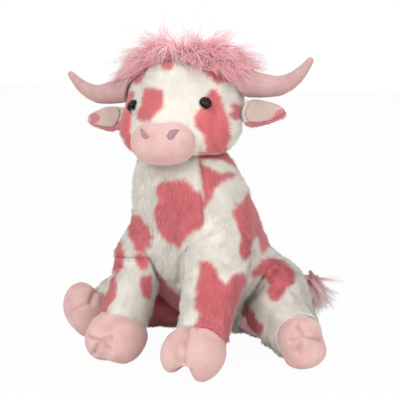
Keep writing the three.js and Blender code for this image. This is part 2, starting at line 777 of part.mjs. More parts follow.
for (const [name, side] of Object.entries(sides)) {
  addPiece(`nostril_${name}`, ontoNeck(nostril(side)), colours.dusk);
  addPiece(`eye_${name}`, ontoNeck(eyes[name].eye), colours.black, 0.08);
  addPiece(`eye_washer_${name}`, ontoNeck(eyes[name].washer), colours.nylon, 0.5);
  addPiece(`horn_${name}`, ontoNeck(hornForm(side).subtract(headForm(seamGap))), colours.mauve, 0.85);
  const back = earForm(side).subtract(earLining(side, seamGap));
  addPiece(`ear_back_${name}`, ontoNeck(ontoSkull(side, back)), colours.rose);
  addPiece(`ear_lining_${name}`, ontoNeck(ontoSkull(side, earLining(side))), colours.shell, 0.85);
  const front = frontLeg(pose[name]);
  addPiece(`front_leg_${name}`, front.leg, colours.cream);
  addPiece(`front_hoof_${name}`, front.hoof, colours.blush, 0.85);
  const hind = hindLeg(pose[name]);
  addPiece(`hind_leg_${name}`, hind.leg, colours.cream);
  addPiece(`hind_hoof_${name}`, hind.hoof, colours.blush, 0.85);
}

addPiece("tail", tailForm().subtract(sweptPast(torsoSeam, tailRoot, "z", tailSwing)), colours.cream);
addPiece("tail_tuft", tailTuft(), colours.rose);

export default toy;
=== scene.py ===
# %% [markdown]
# # A seated plush cow
# A soft toy is a set of sewn cloth skins that fibre filling blows up tight. Two cloths make this one: cut-pile
# plush on the body, and short-nap velboa on the muzzle, hooves, horns and ears. The frame holds the size and place
# of every piece, so this lesson only dresses it: skins first, then seams, then the pile, hair by hair.

# %% Load the frame
import math

import bmesh
import bpy
import numpy as np
from mathutils import Matrix, Vector, noise
from mathutils.bvhtree import BVHTree


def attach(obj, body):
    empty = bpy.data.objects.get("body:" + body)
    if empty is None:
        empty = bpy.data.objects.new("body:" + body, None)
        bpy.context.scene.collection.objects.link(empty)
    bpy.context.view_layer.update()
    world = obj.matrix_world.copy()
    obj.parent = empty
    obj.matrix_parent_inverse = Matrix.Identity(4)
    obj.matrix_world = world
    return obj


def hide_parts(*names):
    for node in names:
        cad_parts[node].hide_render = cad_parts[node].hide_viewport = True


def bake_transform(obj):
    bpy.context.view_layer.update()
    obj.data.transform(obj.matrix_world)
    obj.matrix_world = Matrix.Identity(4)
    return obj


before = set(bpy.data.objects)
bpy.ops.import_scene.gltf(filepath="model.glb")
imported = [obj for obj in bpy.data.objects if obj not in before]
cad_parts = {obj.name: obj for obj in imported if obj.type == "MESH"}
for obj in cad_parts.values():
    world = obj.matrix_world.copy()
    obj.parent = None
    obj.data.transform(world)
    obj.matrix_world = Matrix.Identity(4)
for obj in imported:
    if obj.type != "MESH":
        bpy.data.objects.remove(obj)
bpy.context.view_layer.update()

mm = 0.001
noise.seed_set(3)  # the same frayed edges and locks in every run
print("nodes", len(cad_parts))

# %% [markdown]
# ## Camera
# The picture was taken from the toy's left front, a little above its eyes, with a long lens. A long lens keeps
# the near hooves from growing. The camera could be posed by eye, but here it was fitted to the places of the eyes,
# hooves and horn tips, and it is written as an aim, two angles and a distance.

# %% Camera
aim = Vector((0, -80, 185.3)) * mm
turn, climb = math.radians(24.3), math.radians(9.1)
away = 1250 * mm
lens, sensor = 90, 36
side_px = 400

toward_camera = Vector((math.sin(turn) * math.cos(climb), -math.cos(turn) * math.cos(climb), math.sin(climb)))
picture_right = Vector((math.cos(turn), math.sin(turn), 0))
picture_up = toward_camera.cross(picture_right)
eye_point = aim + toward_camera * away

camera = bpy.data.objects.new("camera", bpy.data.cameras.new("camera"))
bpy.context.scene.collection.objects.link(camera)
camera.data.lens, camera.data.sensor_width = lens, sensor
camera.location = eye_point
camera.rotation_mode = "QUATERNION"
camera.rotation_quaternion = (-toward_camera).to_track_quat("-Z", "Y")
bpy.context.scene.camera = camera
bpy.context.scene.view_settings.view_transform = "Standard"
print("camera at", [round(v, 3) for v in eye_point])


# %% [markdown]
# ## Places in the picture
# Patches and seams are easiest to place where they are seen. This function says where a point of the toy falls in
# the 400 by 400 picture, and the next one goes back from the picture to the toy's skin along a ray.

# %% From the toy to the picture and back
def in_picture(points):
    offset = np.asarray(points, float) - np.array(eye_point)
    depth = -offset @ np.array(toward_camera)
    scale = side_px * lens / sensor / depth
    across = side_px / 2 + scale * (offset @ np.array(picture_right))
    below = side_px / 2 - scale * (offset @ np.array(picture_up))
    return np.stack([across, below], axis=1)


def on_skin(skin_tree, x, y):
    slope = sensor / lens / side_px
    ray = -toward_camera + picture_right * (x - side_px / 2) * slope - picture_up * (y - side_px / 2) * slope
    hit = skin_tree.ray_cast(eye_point, ray.normalized())
    return hit[0]


print("aim falls at", in_picture([aim]).round(1))

# %% [markdown]
# ## Stage and light
# A product picture of a plush toy has a white sweep and large soft lamps, so that the pile shows by its own small
# shadows. The backdrop is white to the camera only, and the floor keeps a faint contact shadow.

# %% Colour and node helpers
# a hex colour is sRGB, as a colour picker shows it, and the shaders want linear light
def linear(hex_colour):
    channels = [int(hex_colour[i : i + 2], 16) / 255 for i in (1, 3, 5)]
    return [c / 12.92 if c <= 0.04045 else ((c + 0.055) / 1.055) ** 2.4 for c in channels] + [1]


print("mid grey in linear light", [round(c, 3) for c in linear("#808080")])


def add_node(tree, kind, links=None, **settings):
    node = tree.nodes.new(kind)
    for name, value in settings.items():
        setattr(node, name, value)
    for key, value in (links or {}).items():
        if isinstance(value, bpy.types.NodeSocket):
            tree.links.new(value, node.inputs[key])
        else:
            node.inputs[key].default_value = value
    return node


def new_material(name):
    material = bpy.data.materials.new(name)
    material.use_nodes = True
    material.node_tree.nodes.clear()
    return material, material.node_tree


# %% [markdown]
# ## World, floor and lamps
# To the camera, gloss and glass the world is white, and as a light it is a soft half of that. The floor is a sheet
# of paper that is nearly white to the camera too, so that it shows only the shadow. A lamp's size matters more
# than its power here: large lamps make the soft shadows between the tufts.

# %% World and floor
world = bpy.data.worlds.new("studio")
world.use_nodes = True
bpy.context.scene.world = world
sky = world.node_tree
sky.nodes.clear()
soft = add_node(sky, "ShaderNodeBackground", {"Color": linear("#FFFDFB"), "Strength": 0.5})
white = add_node(sky, "ShaderNodeBackground", {"Color": (1, 1, 1, 1), "Strength": 1.0})
path = add_node(sky, "ShaderNodeLightPath")
seen = path.outputs["Is Camera Ray"]
for ray in ("Is Glossy Ray", "Is Transmission Ray"):
    seen = add_node(sky, "ShaderNodeMath", {0: seen, 1: path.outputs[ray]}, operation="MAXIMUM").outputs[0]
both = add_node(sky, "ShaderNodeMixShader", {0: seen, 1: soft.outputs[0], 2: white.outputs[0]})
add_node(sky, "ShaderNodeOutputWorld", {"Surface": both.outputs[0]})

floor_size, floor_white = 6, 0.96  # metres from its middle to its edge, and how white the camera sees it
floor_mesh = bpy.data.meshes.new("floor")
bm = bmesh.new()
bmesh.ops.create_grid(bm, x_segments=1, y_segments=1, size=floor_size)
bm.to_mesh(floor_mesh)
bm.free()
floor = bpy.data.objects.new("floor", floor_mesh)
bpy.context.scene.collection.objects.link(floor)
floor_paper, tree = new_material("white paper sweep")
paper = add_node(tree, "ShaderNodeBsdfDiffuse", {"Color": linear("#F6F4F2")})
glow = add_node(tree, "ShaderNodeEmission", {"Color": (1, 1, 1, 1), "Strength": 1.0})
path = add_node(tree, "ShaderNodeLightPath")
share = add_node(tree, "ShaderNodeMath", {0: path.outputs["Is Camera Ray"], 1: floor_white}, operation="MULTIPLY")
both = add_node(tree, "ShaderNodeMixShader", {0: share.outputs[0], 1: paper.outputs[0], 2: glow.outputs[0]})
add_node(tree, "ShaderNodeOutputMaterial", {"Surface": both.outputs[0]})
floor_mesh.materials.append(floor_paper)


# %% Lamps
def lamp(name, place, size, power):
    light = bpy.data.objects.new(name, bpy.data.lights.new(name, "AREA"))
    bpy.context.scene.collection.objects.link(light)
    light.location = place
    light.data.size, light.data.energy = size, power
    light.rotation_mode = "QUATERNION"
    light.rotation_quaternion = (Vector(place) - aim).to_track_quat("Z", "Y")


# place and size in metres, power in watts: a broad key in front, a fill from the left, a top light and a small glint
lamp("key", (-0.1, -2.0, 1.3), 1.0, 20.5)
lamp("fill", (1.6, -0.9, 1.4), 1.2, 13)
lamp("top", (0.1, 0.1, 1.9), 1.2, 6)
lamp("glint", (0.75, -1.6, 1.25), 0.1, 1.0)
print("lamps", [light.name for light in bpy.data.lights])

# %% [markdown]
# ## Skins
# Each stuffed piece starts as a copy of its solid in the frame. The copy is remeshed into even small squares, so
# that smoothing can round its facets, and is drawn in by about the thickness of the lying pile. It could be
# modelled afresh, but a copy is sure to lie where the solid is.

# %% Helpers that read, move and make a mesh
def mesh_places(mesh):
    places = np.empty(len(mesh.vertices) * 3, np.float32)
    mesh.vertices.foreach_get("co", places)
    return places.reshape(-1, 3).astype(float)


def mesh_normals(mesh):
    normals = np.empty(len(mesh.vertices) * 3, np.float32)
    mesh.vertex_normals.foreach_get("vector", normals)
    return normals.reshape(-1, 3).astype(float)


def move_to(mesh, places):
    mesh.vertices.foreach_set("co", places.astype(np.float32).ravel())
    mesh.update()


def settle_modifiers(piece):
    shown = piece.evaluated_get(bpy.context.evaluated_depsgraph_get())
    done = bpy.data.meshes.new_from_object(shown)
    piece.modifiers.clear()
    piece.data = done
    return piece


def tree_of(mesh):
    return BVHTree.FromPolygons([v.co for v in mesh.vertices], [p.vertices[:] for p in mesh.polygons])


def new_piece(name, mesh):
    piece = bpy.data.objects.new(name, mesh)
    bpy.context.scene.collection.objects.link(piece)
    return piece


def mesh_from(bm, name):
    mesh = bpy.data.meshes.new(name)
    bm.to_mesh(mesh)
    bm.free()
    return mesh


def shade_smooth(mesh):
    mesh.polygons.foreach_set("use_smooth", [True] * len(mesh.polygons))


print("the torso's solid has", len(mesh_places(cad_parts["torso"].data)), "points")

# %% Skins from the frame
most_crossings = 12
same_way, widest_step = 0.7, 12  # a hull's point goes back to the solid where both face one way, within mm


def in_even_squares(piece, square):
    remesh = piece.modifiers.new("even squares", "REMESH")
    remesh.mode, remesh.voxel_size = "VOXEL", square * mm
    return settle_modifiers(piece)


# a point is within a closed skin if a ray from it leaves the skin an odd number of times
def is_within(tree, place, deep):
    crossings, way, start = 0, Vector((0.13, 0.21, 0.97)).normalized(), place
    while crossings < most_crossings:
        hit = tree.ray_cast(start, way)[0]
        if hit is None:
            break
        crossings, start = crossings + 1, hit + way * 0.01 * mm
    return crossings % 2 == 1 and tree.find_nearest(place)[3] > deep * mm


# each point takes the mean of its own value and its neighbours'
def softened(mesh, values, rounds):
    ends = np.empty(len(mesh.edges) * 2, np.int32)
    mesh.edges.foreach_get("vertices", ends)
    a, b = ends[0::2], ends[1::2]
    values = np.asarray(values, float)
    count = np.ones(values.shape)
    np.add.at(count, a, 1)
    np.add.at(count, b, 1)
    for _ in range(rounds):
        total = values.copy()
        np.add.at(total, a, values[b])
        np.add.at(total, b, values[a])
        values = total / count
    return values


# a leg's solid has a hollow where the body sits, and filled=True closes it with the solid's hull
def skin_of(node, square, inset, rounds, filled=False):
    bm = bmesh.new()
    bm.from_mesh(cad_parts[node].data)
    bmesh.ops.remove_doubles(bm, verts=bm.verts, dist=0.01 * mm)
    if filled:
        around = bmesh.ops.convex_hull(bm, input=bm.verts)
        bmesh.ops.delete(bm, geom=list(set(around["geom_interior"] + around["geom_unused"])), context="VERTS")
        outer = {f for f in around["geom"] if isinstance(f, bmesh.types.BMFace)}
        bmesh.ops.delete(bm, geom=[f for f in bm.faces if f not in outer], context="FACES_ONLY")
    name = f"{node}_skin"
    piece = in_even_squares(new_piece(name, mesh_from(bm, name)), square)
    bm = bmesh.new()
    bm.from_mesh(piece.data)
    for _ in range(rounds):
        bmesh.ops.smooth_vert(bm, verts=bm.verts, factor=0.5, use_axis_x=True, use_axis_y=True, use_axis_z=True)
    bm.to_mesh(piece.data)
    bm.free()
    if filled:
        solid = tree_of(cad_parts[node].data)
        moved = mesh_places(piece.data)
        for i, (place, normal) in enumerate(zip(moved, mesh_normals(piece.data))):
            near, out, _, gap = solid.find_nearest(Vector(place))
            if out.dot(Vector(normal)) > same_way and gap < widest_step * mm:
                moved[i] = near
        move_to(piece.data, moved)
    move_to(piece.data, mesh_places(piece.data) - mesh_normals(piece.data) * inset * mm)
    return piece


def both_sides(*parts):
    return [f"{part}_{side}" for part in parts for side in ("left", "right")]


plush, velboa = {}, {}
for node in ["torso", "head", "tail"] + both_sides("front_leg", "hind_leg", "ear_back"):
    small = node.startswith(("ear", "tail"))
    square, inset, rounds = (2.5, 1.2, 3) if small else (5, 2.2, 8)  # mm, mm and rounds of smoothing
    plush[node] = skin_of(node, square, inset, rounds, filled="leg" in node)
for node in ["muzzle"] + both_sides("front_hoof", "hind_hoof"):
    velboa[node] = skin_of(node, square=3, inset=-0.6, rounds=5)
for horn, lining in zip(both_sides("horn"), both_sides("ear_lining")):
    velboa[horn] = skin_of(horn, square=2, inset=-0.4, rounds=4)
    plush[lining] = skin_of(lining, square=1.5, inset=-0.2, rounds=4)
print("plush skins", {n: len(p.data.polygons) for n, p in plush.items()})
print("velboa skins", {n: len(p.data.polygons) for n, p in velboa.items()})

# %% [markdown]
# ## Filling
# Loose fibre presses on the cloth alike in all directions, so a stuffed piece is full between its seams and a
# little uneven. Such a form could be sculpted. Here Blender's Cloth blows each skin up with pressure, without
# gravity, from a skin that is drawn in first, and no point may end further from its place than a few millimetres.

# %% Filling blown in
def gaps_to(tree, places):
    return np.array([tree.find_nearest(Vector(p))[3] for p in places]) / mm


pressure, frames, cloth_mass, cloth_quality = 4.0, 20, 0.3, 5
held_within = 30  # mm from another piece, where its seam begins to hold the cloth


# drawn_in is how far the skin starts inside its place, and most how far it may end from it, in mm
def blow_up(pieces, drawn_in, most):
    starts = {}
    for node, piece in pieces.items():
        starts[node] = mesh_places(piece.data)
        move_to(piece.data, starts[node] - mesh_normals(piece.data) * drawn_in * mm)
        cloth = piece.modifiers.new("filling", "CLOTH")
        cloth.settings.quality, cloth.settings.mass = cloth_quality, cloth_mass
        cloth.settings.use_pressure, cloth.settings.uniform_pressure_force = True, pressure
        cloth.settings.effector_weights.gravity = 0
        cloth.point_cache.frame_start, cloth.point_cache.frame_end = 1, frames
    large = {n: p for n, p in {**plush, **velboa}.items() if not n.startswith(("ear", "horn"))}
    trees = {node: tree_of(piece.data) for node, piece in large.items()}
    for step in range(1, frames + 1):
        bpy.context.scene.frame_set(step)
    for node, piece in pieces.items():
        settle_modifiers(piece)
        shift = mesh_places(piece.data) - starts[node]
        held = np.min([gaps_to(tree, starts[node]) for other, tree in trees.items() if other != node], axis=0)
        shift = softened(piece.data, shift * np.clip(held / held_within, 0, 1)[:, None], rounds=6)
        far = np.linalg.norm(shift, axis=1, keepdims=True)
        places = starts[node] + shift * np.minimum(1, most * mm / np.maximum(far, 1e-9))
        places[:, 2] = np.maximum(places[:, 2], starts[node][:, 2].min())
        move_to(piece.data, places)
        print(node, "moved up to", round(float(far.max()) / mm, 1), "mm before the cap")
    bpy.context.scene.frame_set(1)


blow_up({n: p for n, p in plush.items() if not n.startswith(("ear", "tail"))}, drawn_in=2.5, most=3.5)
blow_up(velboa, drawn_in=1.2, most=1.6)

# %% [markdown]
# ## Fuller places
# Where a maker packs in more fibre, a limb stands out further than its pattern, and a cleft is pulled in by its
# stitches. Sculpting by hand would do this. Here each place is named by a point in the picture, and the skin around
# it moves by a few millimetres that fade out like a bell, which keeps the cloth smooth.

# %% Fuller places
# piece: (point in the picture, reach in mm, move in mm to the picture's right, upwards and towards the camera)
fuller_places = {
    "torso": [((249, 184), 28, (6, 3, 0)), ((262, 210), 20, (4, 0, 0))],
    "head": [((198, 105), 9, (2, 0, 3.5)), ((126, 106), 9, (1, 0, 4))],
    "front_leg_left": [((199, 250), 26, (-15, 0, 0)), ((193, 290), 22, (-8, 0, 0)), ((224, 326), 13, (2, -15, 4))],
    "front_leg_right": [((119, 243), 20, (-8, 0, 0))],
    "front_hoof_left": [
        ((187, 350), 14, (-5, 0, 0)),
        ((187, 372), 10, (-5, 0, 0)),
        ((174, 378), 8, (-1, 4, 0)),
        ((181, 382), 8, (0, 19, 0)),  # the cleft
    ],
    "front_hoof_right": [((109, 356), 9, (0, -3, 5))],
    "ear_back_left": [((248, 113), 14, (-5, 0, 0)), ((251, 103), 8, (-2, 3, 0))],
    "ear_lining_left": [((250, 113), 12, (-4, 0, 0)), ((253, 103), 8, (-1, 2, 0))],
    "ear_back_right": [((119, 114), 12, (4, 0, 0))],
    "ear_lining_right": [((117, 114), 10, (3, 0, 0))],
}
near_first = 0.1  # pixels that a point gains for each mm that it is nearer to the camera
through_hoof = 0.9  # a fold across a hoof runs on from its front to its back
view = np.array(toward_camera)
for node, places_on_it in fuller_places.items():
    piece = plush.get(node) or velboa[node]
    places = mesh_places(piece.data)
    for spot, reach, (right, up, near) in places_on_it:
        off = np.linalg.norm(in_picture(places) - np.array(spot), axis=1)
        centre = places[np.argmin(off - near_first * (places @ view) / mm)]
        apart = places - centre
        if "hoof" in node:
            apart = apart - through_hoof * (apart @ view)[:, None] * view
        bell = np.exp(-((np.linalg.norm(apart, axis=1) / (reach * mm)) ** 2))
        places += bell[:, None] * np.array(picture_right * right + picture_up * up + toward_camera * near) * mm
        print(node, "fuller at mm", [round(v / mm) for v in centre])
    move_to(piece.data, places)

# %% [markdown]
# ## Skins that meet
# A leg is sewn into the body, so the cloth runs on from one to the other and the crease between them is soft. Two
# closed skins that pass through each other would show a hard line. A remesh of both as one skin is smoothed near
# the crease, and then each piece is laid on it, with the part that the other covers kept a little under it.

# %% Skins that meet
tucked, tucked_away = 1.5, 3  # mm that a covered point lies under the joined skin, and one that faces away
crease_fade = 25  # mm over which the smoothing fades in above the lowest crease
widest_gap = 20  # mm beyond which a point stays where it is


def one_skin(pieces, square):
    bm = bmesh.new()
    for piece in pieces:
        bm.from_mesh(piece.data)
    return in_even_squares(new_piece("joined_skins", mesh_from(bm, "joined skins")), square)


def settle_together(core, around, square, rounds):
    pieces = {n: plush.get(n) or velboa[n] for n in (core, *around)}
    trees = {n: tree_of(piece.data) for n, piece in pieces.items()}
    joined = one_skin(pieces.values(), square)
    places = mesh_places(joined.data)
    to_core, share = gaps_to(trees[core], places), np.zeros(len(places))
    for node, (reach, low) in around.items():
        near = np.clip(1 - (to_core + gaps_to(trees[node], places)) / reach, 0, 1)
        share = np.maximum(share, near * np.clip((places[:, 2] / mm - low) / crease_fade, 0, 1))
    share = np.clip(share * 2, 0, 1)[:, None]
    for _ in range(rounds):
        places += share * (softened(joined.data, places, 1) - places)
    move_to(joined.data, places)
    joined_tree, furthest = tree_of(joined.data), max(reach for reach, low in around.values())
    for node, piece in pieces.items():
        others = [trees[core]] if node != core else [trees[n] for n in around]
        places, normals = mesh_places(piece.data), mesh_normals(piece.data)
        to_others = np.min([gaps_to(tree, places) for tree in others], axis=0)
        close = np.flatnonzero(to_others < furthest)
        for last in (False, True):
            shift = np.zeros(places.shape)
            for i in close:
                spot = Vector(places[i])
                near, out, _, gap = joined_tree.find_nearest(spot)
                turned_away = out.dot(Vector(normals[i])) < 0.1
                if turned_away or any(is_within(tree, spot, 0.3) for tree in others):
                    deep = (tucked_away if turned_away else tucked) * mm
                    if gap < widest_gap * mm and (spot - near).dot(out) > -deep:
                        shift[i] = near - out * deep - spot
                elif gap < widest_gap * mm:
                    shift[i] = near - spot
            places = places + softened(piece.data, shift, 2)
            relaxed = softened(piece.data, places, 3)
            moved = softened(piece.data, np.linalg.norm(shift, axis=1) > 0.8 * mm, 2)[:, None]
            if not last:
                places += (relaxed - places) * moved
        move_to(piece.data, places)
    bpy.data.objects.remove(joined)
    print(core, "settled with", ", ".join(around))


# piece: (reach of the smoothing in mm, height in mm under which the crease stays)
limbs = {
    "front_leg_left": (44, 130),
    "front_leg_right": (36, 125),
    "hind_leg_left": (24, 62),
    "hind_leg_right": (24, 62),
}
settle_together("torso", limbs, square=4, rounds=70)
for side in ("left", "right"):
    for part in ("front", "hind"):
        settle_together(f"{part}_leg_{side}", {f"{part}_hoof_{side}": (14, -50)}, square=3, rounds=20)

# %% [markdown]
# ## Finer squares
# Seams and puckers are narrower than the squares so far, and the pile needs a smooth skin to grow on. A finer
# remesh would blur the shape, so each square is cut in four by one level of subdivision, which also rounds it.

# %% Finer squares
for piece in (*plush.values(), *velboa.values()):
    subdivide = piece.modifiers.new("finer", "SUBSURF")
    subdivide.levels = subdivide.render_levels = 1
    settle_modifiers(piece)
    shade_smooth(piece.data)
print("finer skins", {n: len(p.data.polygons) for n, p in {**plush, **velboa}.items()})

# %% [markdown]
# ## Seams
# A seam shows on a stuffed toy as a soft groove, because its thread holds the cloth back while the filling pushes
# the cloth out. The grooves could be sculpted by hand. Here each one is a line placed in the picture, thrown onto
# the skin along the camera's rays, and pressed in with a bell-shaped depth.

# %% Grooves along seam lines
# piece: (points in the picture, depth in mm, half width in mm)
seam_lines = {
    "torso": [
        ([(200, 162), (201.5, 178), (203, 200), (204.5, 222), (198, 231), (186, 243), (180, 262), (178, 284)], 4, 4),
    ],
    "head": [
        ([(213, 109), (213, 122), (213, 136), (216, 148), (219, 156)], 4.5, 5),
        ([(133, 108), (132, 122), (129, 138), (131, 152)], 3.5, 4.5),
        ([(197, 124), (200, 136), (200, 150)], 3, 4),
    ],
    "front_leg_right": [
        ([(110, 256), (124, 257), (138, 258), (151, 257)], 6, 3.2),
        ([(112, 267), (118, 266), (124, 268)], 4, 3),
    ],
    "front_leg_left": [
        ([(243, 262), (236, 270), (226, 276)], 1, 6),
    ],
    "front_hoof_left": [
        ([(186, 326), (184, 338), (182.5, 350), (181.5, 362)], 6, 4.2),
    ],
    "front_hoof_right": [
        ([(100, 342), (93, 339), (87, 337)], 6, 2.5),
        ([(100, 342), (96, 348), (93, 355)], 6, 2.5),
        ([(100, 342), (105, 346), (109, 349)], 5, 2.5),
        ([(100, 342), (105, 339), (110, 337)], 4, 2.5),
    ],
    "hind_hoof_left": [
        ([(303, 338), (299, 331), (295, 324)], 5.5, 2.8),
        ([(303, 338), (313, 340), (326, 340)], 5, 2.6),
        ([(303, 338), (301, 344), (298, 352)], 4, 2.6),
        ([(303, 338), (297, 340), (290, 342)], 3, 2.6),
    ],
    "hind_hoof_right": [
        ([(98, 280), (96, 291), (91, 303)], 5, 4),
        ([(92, 303), (82, 307), (73, 312)], 2.2, 3.4),
    ],
}


def distance_to_line(points, line):
    nearest = np.full(len(points), 1e9)
    for a, b in zip(line, line[1:]):
        a, b = np.array(a), np.array(b)
        span = b - a
        along = np.clip((points - a) @ span / max(span @ span, 1e-12), 0, 1)
        nearest = np.minimum(nearest, np.linalg.norm(points - a - along[:, None] * span, axis=1))
    return nearest


throws = 4  # rays for each stretch of a line


def thrown_on(piece, line):
    tree = tree_of(piece.data)
    fine = []
    for a, b in zip(line, line[1:]):
        fine += [(a[0] + (b[0] - a[0]) * k / throws, a[1] + (b[1] - a[1]) * k / throws) for k in range(throws)]
    hits = [on_skin(tree, x, y) for x, y in fine + [line[-1]]]
    return [hit for hit in hits if hit]


grooves = {}
for node, lines in seam_lines.items():
    piece = plush.get(node) or velboa[node]
    found = [(thrown_on(piece, line), depth, width) for line, depth, width in lines]
    grooves[node] = [(line, depth, width) for line, depth, width in found if len(line) > 1]
    places, normals = mesh_places(piece.data), mesh_normals(piece.data)
    press = np.zeros(len(places))
    for line, depth, width in grooves[node]:
        bell = np.exp(-((distance_to_line(places, line) / (width * mm)) ** 2))
        press = np.maximum(press, depth * mm * bell)
    move_to(piece.data, places - normals * press[:, None])
    print(node, "grooves", len(grooves[node]), "deepest", round(press.max() / mm, 1), "mm")

# %% [markdown]
# ## Patches
# The cloth is printed with rose patches before it is cut, so a patch can run across a piece and stop at a seam.
# The patches that the picture shows are outlines in its pixels. Those on the back and the far side are guessed,
# as round spots in millimetres. A little noise frays every edge, as pile does.

# %% Where the rose patches lie
body = ["torso", "front_leg_left", "front_leg_right", "hind_leg_left", "hind_leg_right"]
patch_outlines = [
    (["head"], [
        (146.5, 89), (153, 89), (163.5, 90.5), (162.5, 99), (164, 108), (158, 112.5), (153.5, 117), (151, 122),
        (145, 122.5), (137, 120), (137, 113), (141, 107), (143, 99)
    ]),
    (["head"], [
        (121, 94), (131, 90.5), (137, 95), (134, 103), (135, 111), (132, 119), (131, 132), (136, 150),
        (139, 160), (130, 156), (124, 138), (116, 124), (115, 106)
    ]),
    (["head"], [(134, 80), (143, 71), (146, 77), (142, 83), (136, 87)]),
    (["head"], [(158, 60), (174, 60), (173, 70), (163, 72)]),
    (["head"], [(208, 70), (227, 70), (228, 80), (216, 85), (208, 79)]),
    (["head"], [
        (205, 97), (209, 91), (214, 90), (219, 97), (223, 108), (228, 122), (229, 134), (226, 147), (218, 156),
        (205, 158), (204.5, 147), (204, 138), (199, 130), (194.5, 125), (193.5, 119), (197, 112), (201, 107),
        (202, 100)
    ]),
    (["head"], [
        (229, 105), (234, 103), (237, 106), (240, 107), (238, 112), (238.5, 119), (234, 121), (228.5, 117.5),
        (228, 114), (230.5, 111)
    ]),
    (["head", "torso"], [(198, 151), (215, 152), (229, 148), (236, 152), (230, 159), (216, 157), (200, 160)]),
    (["torso"], [
        (158, 182), (162, 180), (185, 178), (192, 184), (194, 189), (200, 191), (203, 200), (204, 212),
        (204, 224), (197.5, 229), (191, 232), (185, 238), (179.5, 248), (172.5, 242), (166, 240), (160, 231),
        (155.5, 218), (155, 210), (158, 200), (156, 192)
    ]),
    (body, [
        (199.5, 160), (204, 166), (210, 167.5), (220, 172), (230, 170), (235, 172.5), (220, 182.5),
        (212.5, 190), (210, 200), (204, 208), (203, 190), (200, 170)
    ]),
    (body, [
        (205, 154), (218, 153), (230, 156), (241, 166), (246, 174), (238, 170), (229, 164), (217.5, 159),
        (207.5, 158)
    ]),
    (body, [
        (231, 210), (234, 202), (240, 200), (246, 191), (252.5, 197), (260, 199), (266, 212), (269, 225),
        (271, 238), (266, 247), (260, 253), (257.5, 241), (256, 233), (251, 238), (250, 250), (246, 262),
        (241, 256), (239, 247), (240.5, 237), (237.5, 225), (234, 219)
    ]),
    (["front_leg_left"], [
        (200, 261), (207.5, 260), (214, 265), (217.5, 271), (221, 280), (226, 282.5), (234, 275), (243, 272),
        (246, 282), (243, 295), (240, 307), (236, 322), (231, 335), (228, 352), (221, 347), (217.5, 342),
        (214, 333), (207.5, 334), (203, 338), (197.5, 335), (194, 327), (197.5, 320), (199, 312), (195, 307),
        (196, 295), (197.5, 280)
    ]),
    (body, [
        (122, 220), (130, 212), (140, 212), (150, 224), (149.5, 231), (155, 236), (150, 239), (153, 245),
        (145, 247), (142.5, 253), (136, 250), (132.5, 242), (130, 235), (131, 227)
    ]),
    (["front_leg_right"], [(134, 254), (144, 253), (150, 261), (147.5, 267), (140, 268), (136, 264)]),
    (["front_leg_right"], [
        (117, 240), (122.5, 233), (124, 246), (125.5, 257), (122.5, 272), (116, 274), (110, 262), (111, 252)
    ]),
    (["front_leg_right"], [
        (107.5, 277), (116, 275), (117.5, 285), (116, 297), (110, 305), (106, 314), (98, 314), (96, 300),
        (100, 287)
    ]),
    (["front_leg_right"], [(141, 275), (152, 274), (153, 287), (150, 298), (142.5, 295), (140, 285)]),
    (["hind_leg_left", "torso"], [
        (252, 267), (259, 261), (265, 256), (270, 257), (280, 260), (286, 265), (294, 272), (295, 282),
        (287.5, 287), (282.5, 297), (277.5, 301), (269, 299), (267.5, 292), (270, 285), (265, 277),
        (257.5, 275), (250, 274)
    ]),
    (["hind_leg_left", "torso"], [(266, 240), (273, 238), (276, 245), (270, 249)]),
    (["hind_leg_left"], [
        (240, 305), (247.5, 304), (252.5, 310), (258, 320), (263, 323), (261, 333), (254, 336), (249, 328),
        (245, 320), (241, 315)
    ]),
    (["hind_leg_right", "torso"], [
        (146, 262), (158, 272), (168, 282), (178, 291), (192, 300), (192, 332), (146, 332)
    ]),
    (["ear_lining_left"], [(277, 111), (282, 108), (290, 106), (290, 122), (262, 125), (272, 118)]),
    (["ear_lining_right"], [(90, 114), (97, 113), (101, 117), (99, 122), (92, 124)]),
]
# the front of the ears' upper rims is cream, and the rest of the ear backs is rose
cream_rims = {
    "ear_back_left": [(240, 92), (288, 97), (284, 107), (262, 117), (246, 122), (240, 122)],
    "ear_back_right": [(86, 96), (126, 98), (126, 122), (110, 118), (98, 110), (88, 110)],
}
# the inside of the left thigh has no pile where it lies against the front leg
bare_outlines = {
    "hind_leg_left": [(220, 322), (240, 308), (252, 330), (262, 336), (262, 360), (220, 360)],
}
# piece, rough centre and half size in mm, of the patches that the picture doesn't show
hidden_patches = [
    ("torso", (26, 30, 188), (25, 24, 28)),
    ("torso", (-32, 10, 232), (22, 24, 20)),
    ("torso", (-26, 60, 132), (26, 24, 24)),
    ("torso", (44, 66, 96), (20, 20, 18)),
    ("torso", (22, -40, 262), (24, 18, 12)),
    ("torso", (-60, -50, 212), (16, 24, 24)),
    ("torso", (-80, -60, 140), (16, 26, 26)),
    ("torso", (80, -20, 120), (14, 18, 18)),
    ("torso", (-6, 44, 30), (28, 20, 16)),
    ("head", (-2, -66, 318), (40, 24, 26)),
    ("head", (-74, -118, 340), (16, 26, 14)),
    ("head", (-62, -84, 280), (24, 22, 22)),
    ("head", (60, -76, 290), (22, 20, 20)),
    ("front_leg_left", (98, -140, 110), (16, 24, 30)),
    ("front_leg_left", (60, -128, 90), (26, 16, 22)),
    ("front_leg_right", (-98, -132, 132), (14, 26, 26)),
    ("front_leg_right", (-80, -118, 84), (24, 14, 22)),
    ("hind_leg_left", (112, 2, 82), (26, 24, 24)),
    ("hind_leg_left", (84, 22, 40), (26, 18, 22)),
    ("hind_leg_right", (-120, -8, 76), (26, 24, 26)),
    ("hind_leg_right", (-86, 20, 46), (26, 18, 22)),
    ("hind_leg_right", (-140, -70, 62), (20, 24, 20)),
    ("tail", (30, 58, 60), (14, 16, 16)),
    ("tail", (84, 66, 62), (14, 16, 16)),
]


